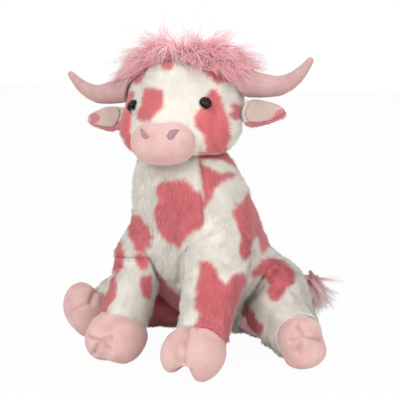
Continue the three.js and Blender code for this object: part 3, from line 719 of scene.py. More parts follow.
def inside(outline, x, y):
    found = np.zeros(len(x), bool)
    for (x1, y1), (x2, y2) in zip(outline, outline[1:] + outline[:1]):
        crosses = (y1 > y) != (y2 > y)
        with np.errstate(divide="ignore", invalid="ignore"):
            reached = (x2 - x1) * (y - y1) / (y2 - y1) + x1
        found ^= crosses & (x < reached)
    return found


# noise whose waves are about a grain of so many mm long
def ruffle(places, grain):
    return np.array([noise.noise_vector(Vector(p) / (grain * mm)) for p in places])


def rose_share(node, places, normals):
    coarse, fine = ruffle(places, 13), ruffle(places, 4)
    x, y = (in_picture(places) + coarse[:, :2] * 1.3 + fine[:, :2] * 0.9).T  # edges frayed by about a pixel
    facing = normals @ view
    rose, bare = np.zeros(len(places), bool), np.zeros(len(places), bool)
    for nodes, outline in patch_outlines:
        if node in nodes:
            rose |= inside(outline, x, y) & (facing > -0.2)
    if node in cream_rims:
        rose = ~(inside(cream_rims[node], x, y) & (facing > 0))
    if node in bare_outlines:
        bare = inside(bare_outlines[node], x, y) & (facing > 0)
    for owner, centre, half in hidden_patches:
        if owner == node:
            nearest = places[np.argmin(np.linalg.norm(places / mm - np.array(centre), axis=1))] / mm
            offset = (places / mm - nearest + coarse * 7 + fine * 3) / np.array(half)  # frayed by 7 and 3 mm
            rose |= ((offset**2).sum(axis=1) < 1) & (facing <= 0.05)
    return rose, bare


print("patches in the picture", len(patch_outlines), "and out of it", len(hidden_patches))

# %% [markdown]
# ## Lie of the pile
# Cut pile leans one way, as the cloth was brushed, and toys are cut so that it runs down the body and the legs and
# away from the nose. A vector on every skin point says which way its hairs lean, with a slow swirl that gathers
# them in tufts. A second value says how long they stand, and a third where none grow because nothing shows there.

# %% Lean, length and cover of the pile
def unit(vectors):
    return vectors / np.maximum(np.linalg.norm(vectors, axis=1, keepdims=True), 1e-9)


# piece: which way its pile was brushed, with x for the left side turned round on the right, and its length in mm
pile_plan = {
    "torso": ((0.0, 0.25, -1.0), 6.5),
    "head": ((0, 0.1, -0.35), 5.5),
    "front_leg": ((0.0, -0.55, -0.85), 6.5),
    "hind_leg": ((0.62, -0.7, -0.35), 6.5),
    "ear_back": ((1.0, 0, -0.2), 4),
    "ear_lining": ((1.0, 0, -0.2), 2.2),
    "tail": ((1.0, 0.2, 0), 5),
}
nose_tip, muzzle_root = np.array((2, -205, 268)) * mm, np.array((2, -178, 266)) * mm


def brushed(node, places):
    way, length = next(plan for part, plan in pile_plan.items() if node.startswith(part))
    lay = np.tile(np.array(way) * (-1 if node.endswith("right") else 1, 1, 1), (len(places), 1))
    if node == "head":
        lay = unit(places - nose_tip) + lay
    return lay, float(length)


skins = {**plush, **velboa}
skin_trees = {n: tree_of(piece.data) for n, piece in skins.items()}
box_margin, covered_depth = 3 * mm, 4
skin_boxes = {}
for node, piece in skins.items():
    places = mesh_places(piece.data)
    skin_boxes[node] = (places.min(axis=0) - box_margin, places.max(axis=0) + box_margin)
crown_tree = tree_of(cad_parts["forelock"].data)


# no pile grows deep inside another piece, or where another skin lies close against this one
def covered_by_others(node, places, normals):
    hidden, close = np.zeros(len(places), bool), (0.5 if node.startswith("ear") else 1.5) * mm
    for other, tree in skin_trees.items():
        if other == node:
            continue
        low, high = skin_boxes[other]
        for i in np.flatnonzero(((places > low) & (places < high)).all(axis=1) & ~hidden):
            place, way = Vector(places[i]), Vector(normals[i])
            hit, facing, _, _ = tree.ray_cast(place, way, close)
            hidden[i] = is_within(tree, place, covered_depth) or (hit is not None and facing.dot(way) < -0.3)
    return hidden


def store(mesh, name, kind, values):
    attribute = mesh.attributes.get(name) or mesh.attributes.new(name, kind, "POINT")
    field = "vector" if kind == "FLOAT_VECTOR" else "value"
    attribute.data.foreach_set(field, np.asarray(values, np.float32).ravel())


def plan_pile(node, piece):
    places, normals = mesh_places(piece.data), mesh_normals(piece.data)
    rose, bare = rose_share(node, places, normals)
    lay, length = brushed(node, places)
    lay = unit(lay - normals * (lay * normals).sum(axis=1, keepdims=True))
    lay = lay + ruffle(places, 16) * 0.75 + ruffle(places, 6) * 0.35  # locks of about 16 mm, and finer ones in them
    length = length * (1 + 0.18 * ruffle(places, 9)[:, 0])
    for line, depth, width in grooves.get(node, []):
        near = np.exp(-((distance_to_line(places, line) / (width * 1.3 * mm)) ** 2))
        length *= 1 - 0.55 * near
    hidden = covered_by_others(node, places, normals)
    if node == "head":  # shorter towards the muzzle, and a rose scalp under the forelock
        length *= np.clip(np.linalg.norm(places - muzzle_root, axis=1) / (70 * mm), 0.62, 1)
        scalp = np.array([is_within(crown_tree, Vector(p), 3) for p in places])
        rose, hidden = rose | scalp, hidden | scalp
    pressed = (places[:, 2] < 4 * mm) & (normals[:, 2] < -0.6)
    store(piece.data, "rose", "FLOAT", softened(piece.data, rose, rounds=1))
    store(piece.data, "bare", "FLOAT", bare)
    store(piece.data, "lay", "FLOAT_VECTOR", unit(normals * 0.5 + lay * 0.75))
    store(piece.data, "pile", "FLOAT", np.where(bare, 1.5, length) * mm)
    store(piece.data, "cover", "FLOAT", ~(hidden | pressed | bare))
    print(node, "rose", round(float(rose.mean()), 2), "covered", round(float(hidden.mean()), 2))


for node, piece in plush.items():
    plan_pile(node, piece)

# %% [markdown]
# ## Cloth and thread materials
# Plush is acrylic pile. Each hair is painted darker at its root and paler at its tip: painted shade deep in the pile
# and painted light on the tips. The same material colours the hairs and the cloth under them, which wears the
# roots' painted shade, from four values stored on the mesh: rose or white, how far out along the hair, a tuft's own
# shade, and the bare cloth. A painted picture could do it, but it would blur at every edge.

# %% Materials of the pile
# clouds of about a grain of so many mm, from low to high
def mottled(tree, places, grain, low, high):
    cloud = add_node(tree, "ShaderNodeTexNoise", {"Vector": places, "Scale": 1 / (grain * mm), "Detail": 3.0})
    span = add_node(tree, "ShaderNodeMapRange", {"Value": cloud.outputs[0], 1: 0.3, 2: 0.7, 3: low, 4: high})
    return span.outputs[0]


def blend_colours(tree, share, first, second, how="MIX"):
    node = add_node(tree, "ShaderNodeMix", data_type="RGBA", blend_type=how)
    for key, value in ((0, share), (6, first), (7, second)):
        if isinstance(value, bpy.types.NodeSocket):
            tree.links.new(value, node.inputs[key])
        else:
            node.inputs[key].default_value = value
    return node.outputs[2]


def pile_material(name, root_white, tip_white, root_rose, tip_rose, bare_colour):
    material, tree = new_material(name)
    places = add_node(tree, "ShaderNodeTexCoord").outputs["Object"]
    rose, bare, tip, shade = [
        add_node(tree, "ShaderNodeAttribute", attribute_name=stored).outputs["Fac"]
        for stored in ("rose", "bare", "tip", "shade")
    ]
    # painted shade and light: each hair runs from its root colour, painted shade deep in the pile, to its tip
    # colour, painted light
    out = add_node(tree, "ShaderNodeMath", {0: tip, 1: 0.7}, operation="POWER").outputs[0]
    white_hair = blend_colours(tree, out, linear(root_white), linear(tip_white))
    rose_hair = blend_colours(tree, out, linear(root_rose), linear(tip_rose))
    hair = blend_colours(tree, rose, white_hair, rose_hair)
    hair = blend_colours(tree, bare, hair, linear(bare_colour))
    tint = mottled(tree, places, stroke_size, 0.93, 1.03)
    tint = add_node(tree, "ShaderNodeMath", {0: tint, 1: shade}, operation="ADD").outputs[0]
    tint = add_node(tree, "ShaderNodeCombineColor", {0: tint, 1: tint, 2: tint}).outputs[0]
    finish = {
        "Base Color": blend_colours(tree, 1.0, hair, tint, "MULTIPLY"),
        "Roughness": 0.85,
        "Sheen Weight": 0.35,
        "Sheen Roughness": 0.5,
        "Specular IOR Level": 0.2,
    }
    surface = add_node(tree, "ShaderNodeBsdfPrincipled", finish)
    add_node(tree, "ShaderNodeOutputMaterial", {"Surface": surface.outputs[0]})
    return material


stroke_size = 22.2  # mm, about the width of a finger's stroke, which leaves the pile a little darker or paler
# milky acrylic hairs: warm white with a bright skin of tips that is painted light, and rose that is deeper between
# them as painted shade
patched_plush = pile_material("patched acrylic plush", "#F6F0E5", "#FFFCF2", "#E0737A", "#F18C92", "#F2C6C4")
# the same pile from a stretch of cloth that is rose all over, so the backs of the ears look darker than their rims
rose_plush = pile_material("rose acrylic plush", "#F0E2D8", "#F8EEE6", "#E0808A", "#F0A0A4", "#F2C6C4")
# a short raised nap on a knitted ground: chalky and flat, with a rose that is thinner than the plush has
shell_velboa = pile_material("shell velboa with a raised nap", "#D4B8AE", "#E9DAD2", "#D88088", "#E69A9C", "#D4B8AE")
# long smooth hairs, painted deep rose at the root as shade within each lock, and pale at the end as painted light
# where light goes through it
long_pile = pile_material("long mohair pile", "#EF7587", "#FFCACE", "#EF7587", "#FFCACE", "#FFCACE")
# the tail's hairs are rose at the root and near white at their ends, so the tuft pales to near white
tail_pile = pile_material("mohair with pale ends", "#E9929C", "#FCE6E3", "#E9929C", "#FCE6E3", "#FCE6E3")
# pale hairs among the rose ones show as bright loose curls
pale_pile = pile_material("pale mohair strands", "#FBC3C3", "#FFEDE8", "#FBC3C3", "#FFEDE8", "#FFEDE8")
print("pile materials", [m.name for m in bpy.data.materials if "pile" in m.name or "plush" in m.name])

# %% [markdown]
# ## Nap, thread and moulded parts
# Velboa's nap is a tenth of a millimetre, much finer than a pixel, so it isn't drawn hair by hair. A fine bump
# breaks up the light, and a sheen brightens it at the edges, as short fibres do. Thread and moulded nylon get a
# tone and a roughness that wander a little, because no real surface is quite even.

# %% Materials of the nap, the thread and the moulded parts
sheen_cloud_size = 16.7  # mm, the size of the paler and darker clouds of painted sheen on the nap
nap_grain = 1.1  # mm: real nap is ten times finer, and this is as fine as a near view can show


def shaded(hex_colour, share):
    return [c * share for c in linear(hex_colour)[:3]] + [1]


def nap_material(name, colour, low_colour):
    material, tree = new_material(name)
    places = add_node(tree, "ShaderNodeTexCoord").outputs["Object"]
    # painted sheen: the colour wanders in clouds between a darker and a paler tone, standing in for the nap catching
    # the light
    painted_sheen = mottled(tree, places, sheen_cloud_size, 0.0, 1.0)
    grain = {"Vector": places, "Scale": 1 / (nap_grain * mm), "Detail": 2.0}
    nap = add_node(tree, "ShaderNodeTexNoise", grain).outputs[0]
    fuzz = add_node(tree, "ShaderNodeBump", {"Height": nap, "Strength": 0.35, "Distance": 0.6 * mm})
    rough = add_node(tree, "ShaderNodeMapRange", {"Value": nap, 3: 0.75, 4: 0.95})
    finish = {
        "Base Color": blend_colours(tree, painted_sheen, linear(low_colour), linear(colour)),
        "Roughness": rough.outputs[0],
        "Normal": fuzz.outputs[0],
        "Sheen Weight": 0.4,
        "Sheen Roughness": 0.4,
        "Specular IOR Level": 0.25,
    }
    surface = add_node(tree, "ShaderNodeBsdfPrincipled", finish)
    add_node(tree, "ShaderNodeOutputMaterial", {"Surface": surface.outputs[0]})
    return material


# short dense nap: an even matt blush that is paler towards its edges
blush_velboa = nap_material("blush velboa", "#DFBCB8", "#D5AAA6")
# the same cloth dyed greyer, so the horns stand apart from the muzzle
mauve_velboa = nap_material("mauve velboa", "#C9A7A5", "#BF9997")


def thread_material(name, colour):
    material, tree = new_material(name)
    places = add_node(tree, "ShaderNodeTexCoord").outputs["Object"]
    wander = mottled(tree, places, thread_grain, 0.0, 1.0)
    finish = {
        "Base Color": blend_colours(tree, wander, linear(colour), shaded(colour, 0.7)),
        "Roughness": mottled(tree, places, thread_grain * 0.8, 0.35, 0.6),
        "Sheen Weight": 0.2,
    }
    surface = add_node(tree, "ShaderNodeBsdfPrincipled", finish)
    add_node(tree, "ShaderNodeOutputMaterial", {"Surface": surface.outputs[0]})
    return material


thread_grain = 1.4  # mm: the twist of a 0.3 mm thread is finer than the picture shows, so it is drawn this coarse
# rayon has a silky gloss, which is what makes the satin stitches catch the light one by one
fill_thread = thread_material("rayon thread, dusty rose", "#BC989C")
# the cord round the edge is a darker reel of the same thread, and draws the nostril's outline
edge_thread = thread_material("rayon thread, mauve", "#B58088")


def moulded_material(name, colour, roughness, grain):
    material, tree = new_material(name)
    places = add_node(tree, "ShaderNodeTexCoord").outputs["Object"]
    wander = mottled(tree, places, grain, 0.0, 1.0)
    finish = {
        "Base Color": blend_colours(tree, wander, linear(colour), shaded(colour, 0.8)),
        "Roughness": mottled(tree, places, grain / 2, roughness * 0.8, roughness * 1.2),
    }
    surface = add_node(tree, "ShaderNodeBsdfPrincipled", finish)
    add_node(tree, "ShaderNodeOutputMaterial", {"Surface": surface.outputs[0]})
    return material


# moulded nylon is milky and half matt, and a little uneven where it cooled
washer_nylon = moulded_material("white nylon", "#E9E7E0", 0.5, grain=3.3)


# share of the dome's radius and the colour there: a black pupil, a brown ring and a black edge
eye_rings = [
    (0.0, "#070505"),
    (0.62, "#080606"),
    (0.70, "#2A1410"),
    (0.84, "#341A12"),
    (0.93, "#0A0706"),
    (1.0, "#060505"),
]


def eye_material():
    material, tree = new_material("black acrylic with a brown ring")
    reach = add_node(tree, "ShaderNodeAttribute", attribute_name="reach").outputs["Fac"]
    ramp = add_node(tree, "ShaderNodeValToRGB", {"Fac": reach})
    first, last = ramp.color_ramp.elements
    (first.position, inner), *rings, (last.position, outer) = eye_rings
    first.color, last.color = linear(inner), linear(outer)
    for place, colour in rings:
        ramp.color_ramp.elements.new(place).color = linear(colour)
    finish = {"Base Color": ramp.outputs[0], "Roughness": 0.08, "Specular IOR Level": 0.22}
    surface = add_node(tree, "ShaderNodeBsdfPrincipled", finish)
    add_node(tree, "ShaderNodeOutputMaterial", {"Surface": surface.outputs[0]})
    return material


# polished acrylic is nearly black and mirrors the lamps as small sharp lights
eye_acrylic = eye_material()


def dress(piece, material):
    piece.data.materials.clear()
    piece.data.materials.append(material)


for node, piece in velboa.items():
    dress(piece, mauve_velboa if "horn" in node else blush_velboa)
for side in ("left", "right"):
    dress(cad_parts[f"eye_washer_{side}"], washer_nylon)
print("materials", sorted(m.name for m in bpy.data.materials if m.users))

# %% [markdown]
# ## Pile
# A real square centimetre of plush holds hundreds of hairs. Particle hair would be the usual way, but it is not a
# mesh. So small tapered tufts are scattered over each skin with Geometry Nodes, each one turned along the lie of the
# pile and joined to the skin for good. A tuft shares most of its normal with the skin, so the pile takes the light
# as one soft surface.

# %% Tufts
root_radius, tip_radius = 0.5, 0.02  # of a tuft that is 1 long
tuft_bends = [(0.12, 1.5), (0.34, 1.3), (0.55, 1.2)]  # how far the tip leans out, and how much fuller the waist is


def tuft(name, bend, waist):
    bm = bmesh.new()
    bmesh.ops.create_cone(bm, cap_ends=False, segments=3, radius1=root_radius, radius2=tip_radius, depth=1)
    bmesh.ops.translate(bm, verts=bm.verts, vec=(0, 0, 0.5))
    edges = [e for e in bm.edges if abs(e.verts[0].co.z - e.verts[1].co.z) > 0.5]
    bmesh.ops.subdivide_edges(bm, edges=edges, cuts=1)
    tips = bm.verts.layers.float.new("tip")
    for v in bm.verts:
        if 0.2 < v.co.z < 0.8:
            v.co.x, v.co.y = v.co.x * waist, v.co.y * waist
        v[tips] = min(1, max(0, v.co.z))
        v.co.x += bend * v.co.z**2
    bmesh.ops.remove_doubles(bm, verts=[v for v in bm.verts if v.co.z > 0.9], dist=0.1)
    mesh = mesh_from(bm, name)
    shade_smooth(mesh)
    return bpy.data.objects.new(name, mesh)


tuft_shelf = bpy.data.collections.new("tufts")
for number, (bend, waist) in enumerate(tuft_bends):
    tuft_shelf.objects.link(tuft(f"tuft_{number}", bend, waist))

# %% [markdown]
# ## The tree that sows the tufts
# The tree notes the skin's normal, scatters points that keep their distance, and stands a tuft on each. Every tuft
# is turned along the stored lie and given its own spin, width, length and shade. Then the tufts are made real and
# joined to the skin, so that nothing is left for a modifier to do.

# %% The tree that sows the tufts
full_turn = 6.283
most_tufts = 2.0e6  # on a square metre, before those that stand too close are left out
tuft_spread = 0.0006  # how far a tuft's own patch of the unwrapped cloth reaches


def sowing_tree(material, apart, wide, skin_normal):
    tree = bpy.data.node_groups.new("sow pile", "GeometryNodeTree")
    tree.interface.new_socket("Geometry", in_out="INPUT", socket_type="NodeSocketGeometry")
    tree.interface.new_socket("Geometry", in_out="OUTPUT", socket_type="NodeSocketGeometry")
    skin = add_node(tree, "NodeGroupInput").outputs[0]

    def value_of(name, kind="FLOAT"):
        return add_node(tree, "GeometryNodeInputNamedAttribute", {"Name": name}, data_type=kind).outputs[0]

    def any_of(low, high, seed):
        node = add_node(tree, "FunctionNodeRandomValue", {2: low, 3: high, "Seed": seed}, data_type="FLOAT")
        return node.outputs[1]

    def noted(geometry, name, value, kind, domain):
        links = {"Geometry": geometry, "Name": name, "Value": value}
        node = add_node(tree, "GeometryNodeStoreNamedAttribute", links, data_type=kind, domain=domain)
        return node.outputs[0]

    normal = add_node(tree, "GeometryNodeInputNormal").outputs[0]
    cloth = noted(skin, "skin_normal", normal, "FLOAT_VECTOR", "POINT")
    scatter = {
        "Mesh": cloth,
        "Distance Min": apart * mm,
        "Density Max": most_tufts,
        "Density Factor": value_of("cover"),
        "Seed": 7,
    }
    sown = add_node(tree, "GeometryNodeDistributePointsOnFaces", scatter, distribute_method="POISSON")
    lie = {"Vector": value_of("lay", "FLOAT_VECTOR")}
    along = add_node(tree, "FunctionNodeAlignRotationToVector", lie, axis="Z")
    spin_links = {"Axis": (0, 0, 1), "Angle": any_of(0.0, full_turn, 3)}
    spin = add_node(tree, "FunctionNodeAxisAngleToRotation", spin_links)
    turns = {0: along.outputs[0], 1: spin.outputs[0]}
    turned = add_node(tree, "FunctionNodeRotateRotation", turns, rotation_space="LOCAL")
    tall = add_node(tree, "ShaderNodeMath", {0: value_of("pile"), 1: any_of(0.75, 1.2, 4)}, operation="MULTIPLY")
    breadth = any_of(wide * 0.75 * mm, wide * 1.25 * mm, 5)
    size = add_node(tree, "ShaderNodeCombineXYZ", {0: breadth, 1: breadth, 2: tall.outputs[0]})
    shelf_links = {"Collection": tuft_shelf, "Separate Children": True, "Reset Children": True}
    shelf = add_node(tree, "GeometryNodeCollectionInfo", shelf_links)
    last_tuft = len(tuft_bends) - 1
    picked = add_node(tree, "FunctionNodeRandomValue", {4: 0, 5: last_tuft, "Seed": 6}, data_type="INT")
    tinted = noted(sown.outputs[0], "shade", any_of(-0.07, 0.05, 8), "FLOAT", "POINT")
    standing = {
        "Points": tinted,
        "Instance": shelf.outputs[0],
        "Pick Instance": True,
        "Instance Index": picked.outputs[2],
        "Rotation": turned.outputs[0],
        "Scale": size.outputs[0],
    }
    stood = add_node(tree, "GeometryNodeInstanceOnPoints", standing)
    made = add_node(tree, "GeometryNodeRealizeInstances", {"Geometry": stood.outputs[0]})

    # a tuft's normal is mostly the skin's
    own = add_node(tree, "GeometryNodeInputNormal").outputs[0]
    shared = add_node(tree, "ShaderNodeMix", {0: skin_normal}, data_type="VECTOR")
    tree.links.new(own, shared.inputs[4])
    tree.links.new(value_of("skin_normal", "FLOAT_VECTOR"), shared.inputs[5])
    unit_length = add_node(tree, "ShaderNodeVectorMath", {0: shared.outputs[1]}, operation="NORMALIZE").outputs[0]
    smooth = add_node(tree, "GeometryNodeSetMeshNormal", {"Mesh": made.outputs[0]}, mode="FREE", domain="POINT")
    tree.links.new(unit_length, smooth.inputs["Custom Normal"])

    # a tuft is unwrapped to a small place beside its root's
    small = add_node(tree, "ShaderNodeCombineXYZ", {0: value_of("tip"), 1: any_of(0.0, 1.0, 9)})
    shift = add_node(tree, "ShaderNodeVectorMath", {0: small.outputs[0], "Scale": tuft_spread}, operation="SCALE")
    root = value_of("OFBake", "FLOAT_VECTOR")
    spread = add_node(tree, "ShaderNodeVectorMath", {0: root, 1: shift.outputs[0]}, operation="ADD")
    mapped = noted(smooth.outputs[0], "OFBake", spread.outputs[0], "FLOAT2", "CORNER")
    joined = add_node(tree, "GeometryNodeJoinGeometry")
    tree.links.new(mapped, joined.inputs[0])
    tree.links.new(cloth, joined.inputs[0])
    clothed = add_node(tree, "GeometryNodeSetMaterial", {"Geometry": joined.outputs[0], "Material": material})
    add_node(tree, "NodeGroupOutput", {0: clothed.outputs[0]})
    return tree


# %% [markdown]
# ## Sowing
# Each skin is unwrapped first, so that its own places on the cloth can be handed on to its tufts. The tufts could
# stand as close as real hairs, but the eye only needs enough of them to hide the skin, so they are a bit over a
# millimetre wide and apart.

# %% Pile on every plush skin
sharpest_fold, island_gap = math.radians(66), 0.004
skin_normal_share = 0.85


def unwrap(piece):
    while piece.data.uv_layers:
        piece.data.uv_layers.remove(piece.data.uv_layers[0])
    piece.data.uv_layers.new(name="OFBake")
    bpy.context.view_layer.objects.active = piece
    for other in bpy.context.selected_objects:
        other.select_set(False)
    piece.select_set(True)
    bpy.ops.object.mode_set(mode="EDIT")
    bpy.ops.mesh.select_all(action="SELECT")
    bpy.ops.uv.smart_project(angle_limit=sharpest_fold, island_margin=island_gap)
    bpy.ops.object.mode_set(mode="OBJECT")


for node, piece in plush.items():
    unwrap(piece)
    cloth = rose_plush if "ear_back" in node else shell_velboa if "lining" in node else patched_plush
    apart, wide = 1.6, 1.35  # mm between tufts, and their width
    if node.startswith(("ear", "tail")):
        apart, wide = (1.0, 0.9) if "lining" in node else (1.2, 1.1)
    pile = piece.modifiers.new("pile", "NODES")
    pile.node_group = sowing_tree(cloth, apart, wide, skin_normal_share)
    settle_modifiers(piece)
    print(node, "triangles", sum(len(p.vertices) - 2 for p in piece.data.polygons))

# %% [markdown]
# ## Eyes
# A safety eye is one moulding: a domed head with a dark ring behind clear acrylic, and a ribbed shank that goes
# through the cloth into its washer. It is round, so its outline is spun about its own axis.

# %% Spun eyes
eye_radius, dome_height, rim_height, chamfer = 7.5 * mm, 5 * mm, 1.6 * mm, 0.3 * mm
shank_length, neck_radius, shank_radius, point_radius = 14 * mm, 2.3 * mm, 2.1 * mm, 1.5 * mm
ribs, rib_radius, rib_step = 6, 2.6 * mm, 0.3 * mm
arc_steps, spin_steps = 12, 40


def spun(name, outline, centre, axis):
    bm = bmesh.new()
    ring = [bm.verts.new((radius, 0, height)) for radius, height in outline]
    edges = [bm.edges.new(pair) for pair in zip(ring, ring[1:])]
    turn_about = {"cent": (0, 0, 0), "axis": (0, 0, 1), "angle": 2 * math.pi, "steps": spin_steps}
    bmesh.ops.spin(bm, geom=ring + edges, use_merge=True, **turn_about)
    bmesh.ops.remove_doubles(bm, verts=bm.verts, dist=0.01 * mm)
    reach = bm.verts.layers.float.new("reach")
    widest = max(radius for radius, height in outline)
    for v in bm.verts:
        v[reach] = math.hypot(v.co.x, v.co.y) / widest
    placed = Matrix.Translation(centre) @ axis.to_track_quat("Z", "Y").to_matrix().to_4x4()
    bmesh.ops.transform(bm, verts=bm.verts, matrix=placed)
    bmesh.ops.recalc_face_normals(bm, faces=bm.faces)
    mesh = mesh_from(bm, name)
    shade_smooth(mesh)
    return new_piece(name, mesh)


def eye_outline():
    outline = []
    for k in range(arc_steps + 1):
        angle = math.pi / 2 * k / arc_steps
        outline.append((eye_radius * math.sin(angle), dome_height * (math.cos(angle) - 1)))
    back = -dome_height - rim_height
    outline += [(eye_radius, back + chamfer), (eye_radius - chamfer, back), (neck_radius, back)]
    for rib in range(ribs):
        low = back - shank_length * 0.8 * (rib + 0.5) / ribs
        for step, radius in enumerate((shank_radius, rib_radius, rib_radius, shank_radius)):
            outline.append((radius, low - step * rib_step))
    return outline + [(point_radius, back - shank_length * 0.95), (0, back - shank_length)]


def middle_of(node):
    places = mesh_places(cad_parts[node].data)
    return (places.max(axis=0) + places.min(axis=0)) / 2


eyes = {}
for side in ("left", "right"):
    middle = middle_of(f"eye_washer_{side}")
    axis = Vector(middle_of(f"eye_{side}") - middle).normalized()
    solid = mesh_places(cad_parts[f"eye_{side}"].data)
    apex = Vector(middle) + axis * float(((solid - middle) @ np.array(axis)).max())
    eyes[side] = spun(f"eye_dome_{side}", eye_outline(), apex, axis)
    eyes[side].data.materials.append(eye_acrylic)
    print("eye", side, "axis", [round(v, 2) for v in axis], "apex mm", [round(v / mm, 1) for v in apex])


# %% [markdown]
# ## Thread and hair
# A thread or a hair is a thin round rod along a line that gets narrower, so a curve with a bevel makes it with no
# effort. The curve is then made a mesh and its ends are closed. Every rod gets its own small square of the
# unwrapped cloth, its own shade, and a value that rises from its root to its tip.

# %% Thread and hair from curves
def swept(name, paths, sides):
    curve = bpy.data.curves.new(name, "CURVE")
    curve.dimensions, curve.bevel_depth, curve.bevel_resolution = "3D", 1.0, 0 if sides == 4 else 1
    for points, widths in paths:
        line = curve.splines.new("POLY")
        line.points.add(len(points) - 1)
        for point, place, width in zip(line.points, points, widths):
            point.co, point.radius = (*place, 1), width
    shape = bpy.data.objects.new(name, curve)
    bpy.context.scene.collection.objects.link(shape)
    mesh = bpy.data.meshes.new_from_object(shape.evaluated_get(bpy.context.evaluated_depsgraph_get()))
    bpy.data.objects.remove(shape)
    mesh.name = name
    bm = bmesh.new()
    bm.from_mesh(mesh)
    bmesh.ops.holes_fill(bm, edges=[e for e in bm.edges if e.is_boundary], sides=6)
    bm.to_mesh(mesh)
    bm.free()
    shade_smooth(mesh)
    return mesh


def lay_out(mesh, across, upward):
    corners = np.empty(len(mesh.loops), np.int32)
    mesh.loops.foreach_get("vertex_index", corners)
    squares = np.stack([across, upward], axis=1)[corners]
    mesh.uv_layers.new(name="OFBake").data.foreach_set("uv", squares.ravel())


# around is a place inside a tuft of hair: normals that mostly point away from it light the hairs as one soft form
def strands(name, paths, material, sides=4, around=None):
    mesh = swept(name, paths, sides)
    mesh.materials.clear()
    mesh.materials.append(material)
    counts = [len(points) for points, widths in paths]
    ring = len(mesh.vertices) // sum(counts)
    tips = np.concatenate([np.repeat(np.linspace(0, 1, count), ring) for count in counts])
    which = np.repeat(np.arange(len(paths)), [count * ring for count in counts])
    shades = np.random.default_rng(5).uniform(-0.1, 0.06, len(paths))
    store(mesh, "tip", "FLOAT", tips)
    store(mesh, "shade", "FLOAT", shades[which])
    cells = math.ceil(math.sqrt(len(paths)))
    across = (which % cells + 0.15 + 0.7 * (np.arange(len(tips)) % ring) / ring) / cells
    lay_out(mesh, across, (which // cells + 0.1 + 0.8 * tips) / cells)
    if around is not None:
        shared = mesh_normals(mesh) * 0.3 + unit(mesh_places(mesh) - np.array(around)) * 0.7
        mesh.normals_split_custom_set_from_vertices(unit(shared).tolist())
    return new_piece(name, mesh)


# %% [markdown]
# ## Nostrils
# The nostrils are satin stitch: threads laid side by side over the cloth, each one a low arch from edge to edge,
# with a darker cord around them. A picture of stitches would lie flat, and these catch the light one by one.

# %% Satin-stitched nostrils
# outlines in the picture
nostril_outlines = {
    "right": [
        (141, 128.5), (142.6, 129.2), (145, 132.6), (148.4, 135.4),
        (148.6, 137.2), (146, 139), (143.4, 137.4), (141.6, 133.6),
    ],
    "left": [(167, 136), (170, 131), (175, 129.5), (179, 130), (176, 134), (172.5, 139), (169, 139.5)],
}
row_step, shortest_row, row_slope = 0.36, 0.4, 0.25  # in pixels of the picture
thread_radius, cord_radius, cord_lift = 0.3 * mm, 0.5 * mm, 0.25 * mm
arch, clearance = 0.8, 0.15  # mm that a stitch rises in its middle, and that every stitch lies above the cloth
stitch_steps, border_steps = 6, 3
muzzle_tree = tree_of(velboa["muzzle"].data)
muzzle_centre = Vector((2, -186, 264)) * mm


def stitched(a, b, count, lift):
    points = []
    for k in range(count + 1):
        hit = on_skin(muzzle_tree, a[0] + (b[0] - a[0]) * k / count, a[1] + (b[1] - a[1]) * k / count)
        if hit:
            rise = lift * math.sin(math.pi * (k + 0.4) / (count + 0.8)) + clearance
            points.append(hit + (hit - muzzle_centre).normalized() * rise * mm)
    return points


nostrils = {}
for side, outline in nostril_outlines.items():
    ring = list(zip(outline, outline[1:] + outline[:1]))
    ys = [y for x, y in outline]
    threads = []
    for y in np.arange(min(ys) + 0.15, max(ys), row_step):
        cuts = [x1 + (y - y1) * (x2 - x1) / (y2 - y1) for (x1, y1), (x2, y2) in ring if (y1 > y) != (y2 > y)]
        if len(cuts) >= 2 and max(cuts) - min(cuts) > shortest_row:
            line = stitched((min(cuts), y), (max(cuts), y + row_slope), stitch_steps, arch)
            if len(line) > 2:
                threads.append((line, [thread_radius] * len(line)))
    border = [point for a, b in ring for point in stitched(a, b, border_steps, 0.0)[:-1]]
    border = [p + (p - muzzle_centre).normalized() * cord_lift for p in border]
    border += border[:1]
    fill = strands(f"nostril_fill_{side}", threads, fill_thread)
    edge = strands(f"nostril_edge_{side}", [(border, [cord_radius] * len(border))], edge_thread, sides=6)
    nostrils[side] = [fill, edge]
    print("nostril", side, "stitches", len(threads), "points round its edge", len(border))

# %% [markdown]
# ## Forelock and tail tuft
# Both are long mohair-like pile, sewn on as one strip. Hairs of such pile cling together in locks, so guides are
# drawn first, and several tapered hairs follow each guide and close on it near its tip. Falling hair is simulated
# in film work. Here a hair leaves its root, is pulled down a little more with each step, and slides over the head.

# %% A lock and its hairs
rng = np.random.default_rng(11)
head_tree = skin_trees["head"]
wave_size = 22 * mm  # how long a wave in a lock is


# length and clear, which keeps the lock off the head, are in mm
def lock_path(root, way, length, droop, swirl, phase, steps=8, clear=3.0):
    place, heading = Vector(root), Vector(way).normalized()
    points = [place.copy()]
    for step in range(steps):
        heading = heading + Vector((0, 0, -droop / steps))
        sway = noise.noise_vector(place / wave_size + Vector((phase, phase * 0.7, 0))) * swirl
        heading = (heading + sway / steps).normalized()
        place = place + heading * (length / steps) * mm
        near, out, _, _ = head_tree.find_nearest(place)
        if near is not None and (place - near).dot(out) < clear * mm:
            place = near + out * clear * mm
        points.append(place.copy())
    return points


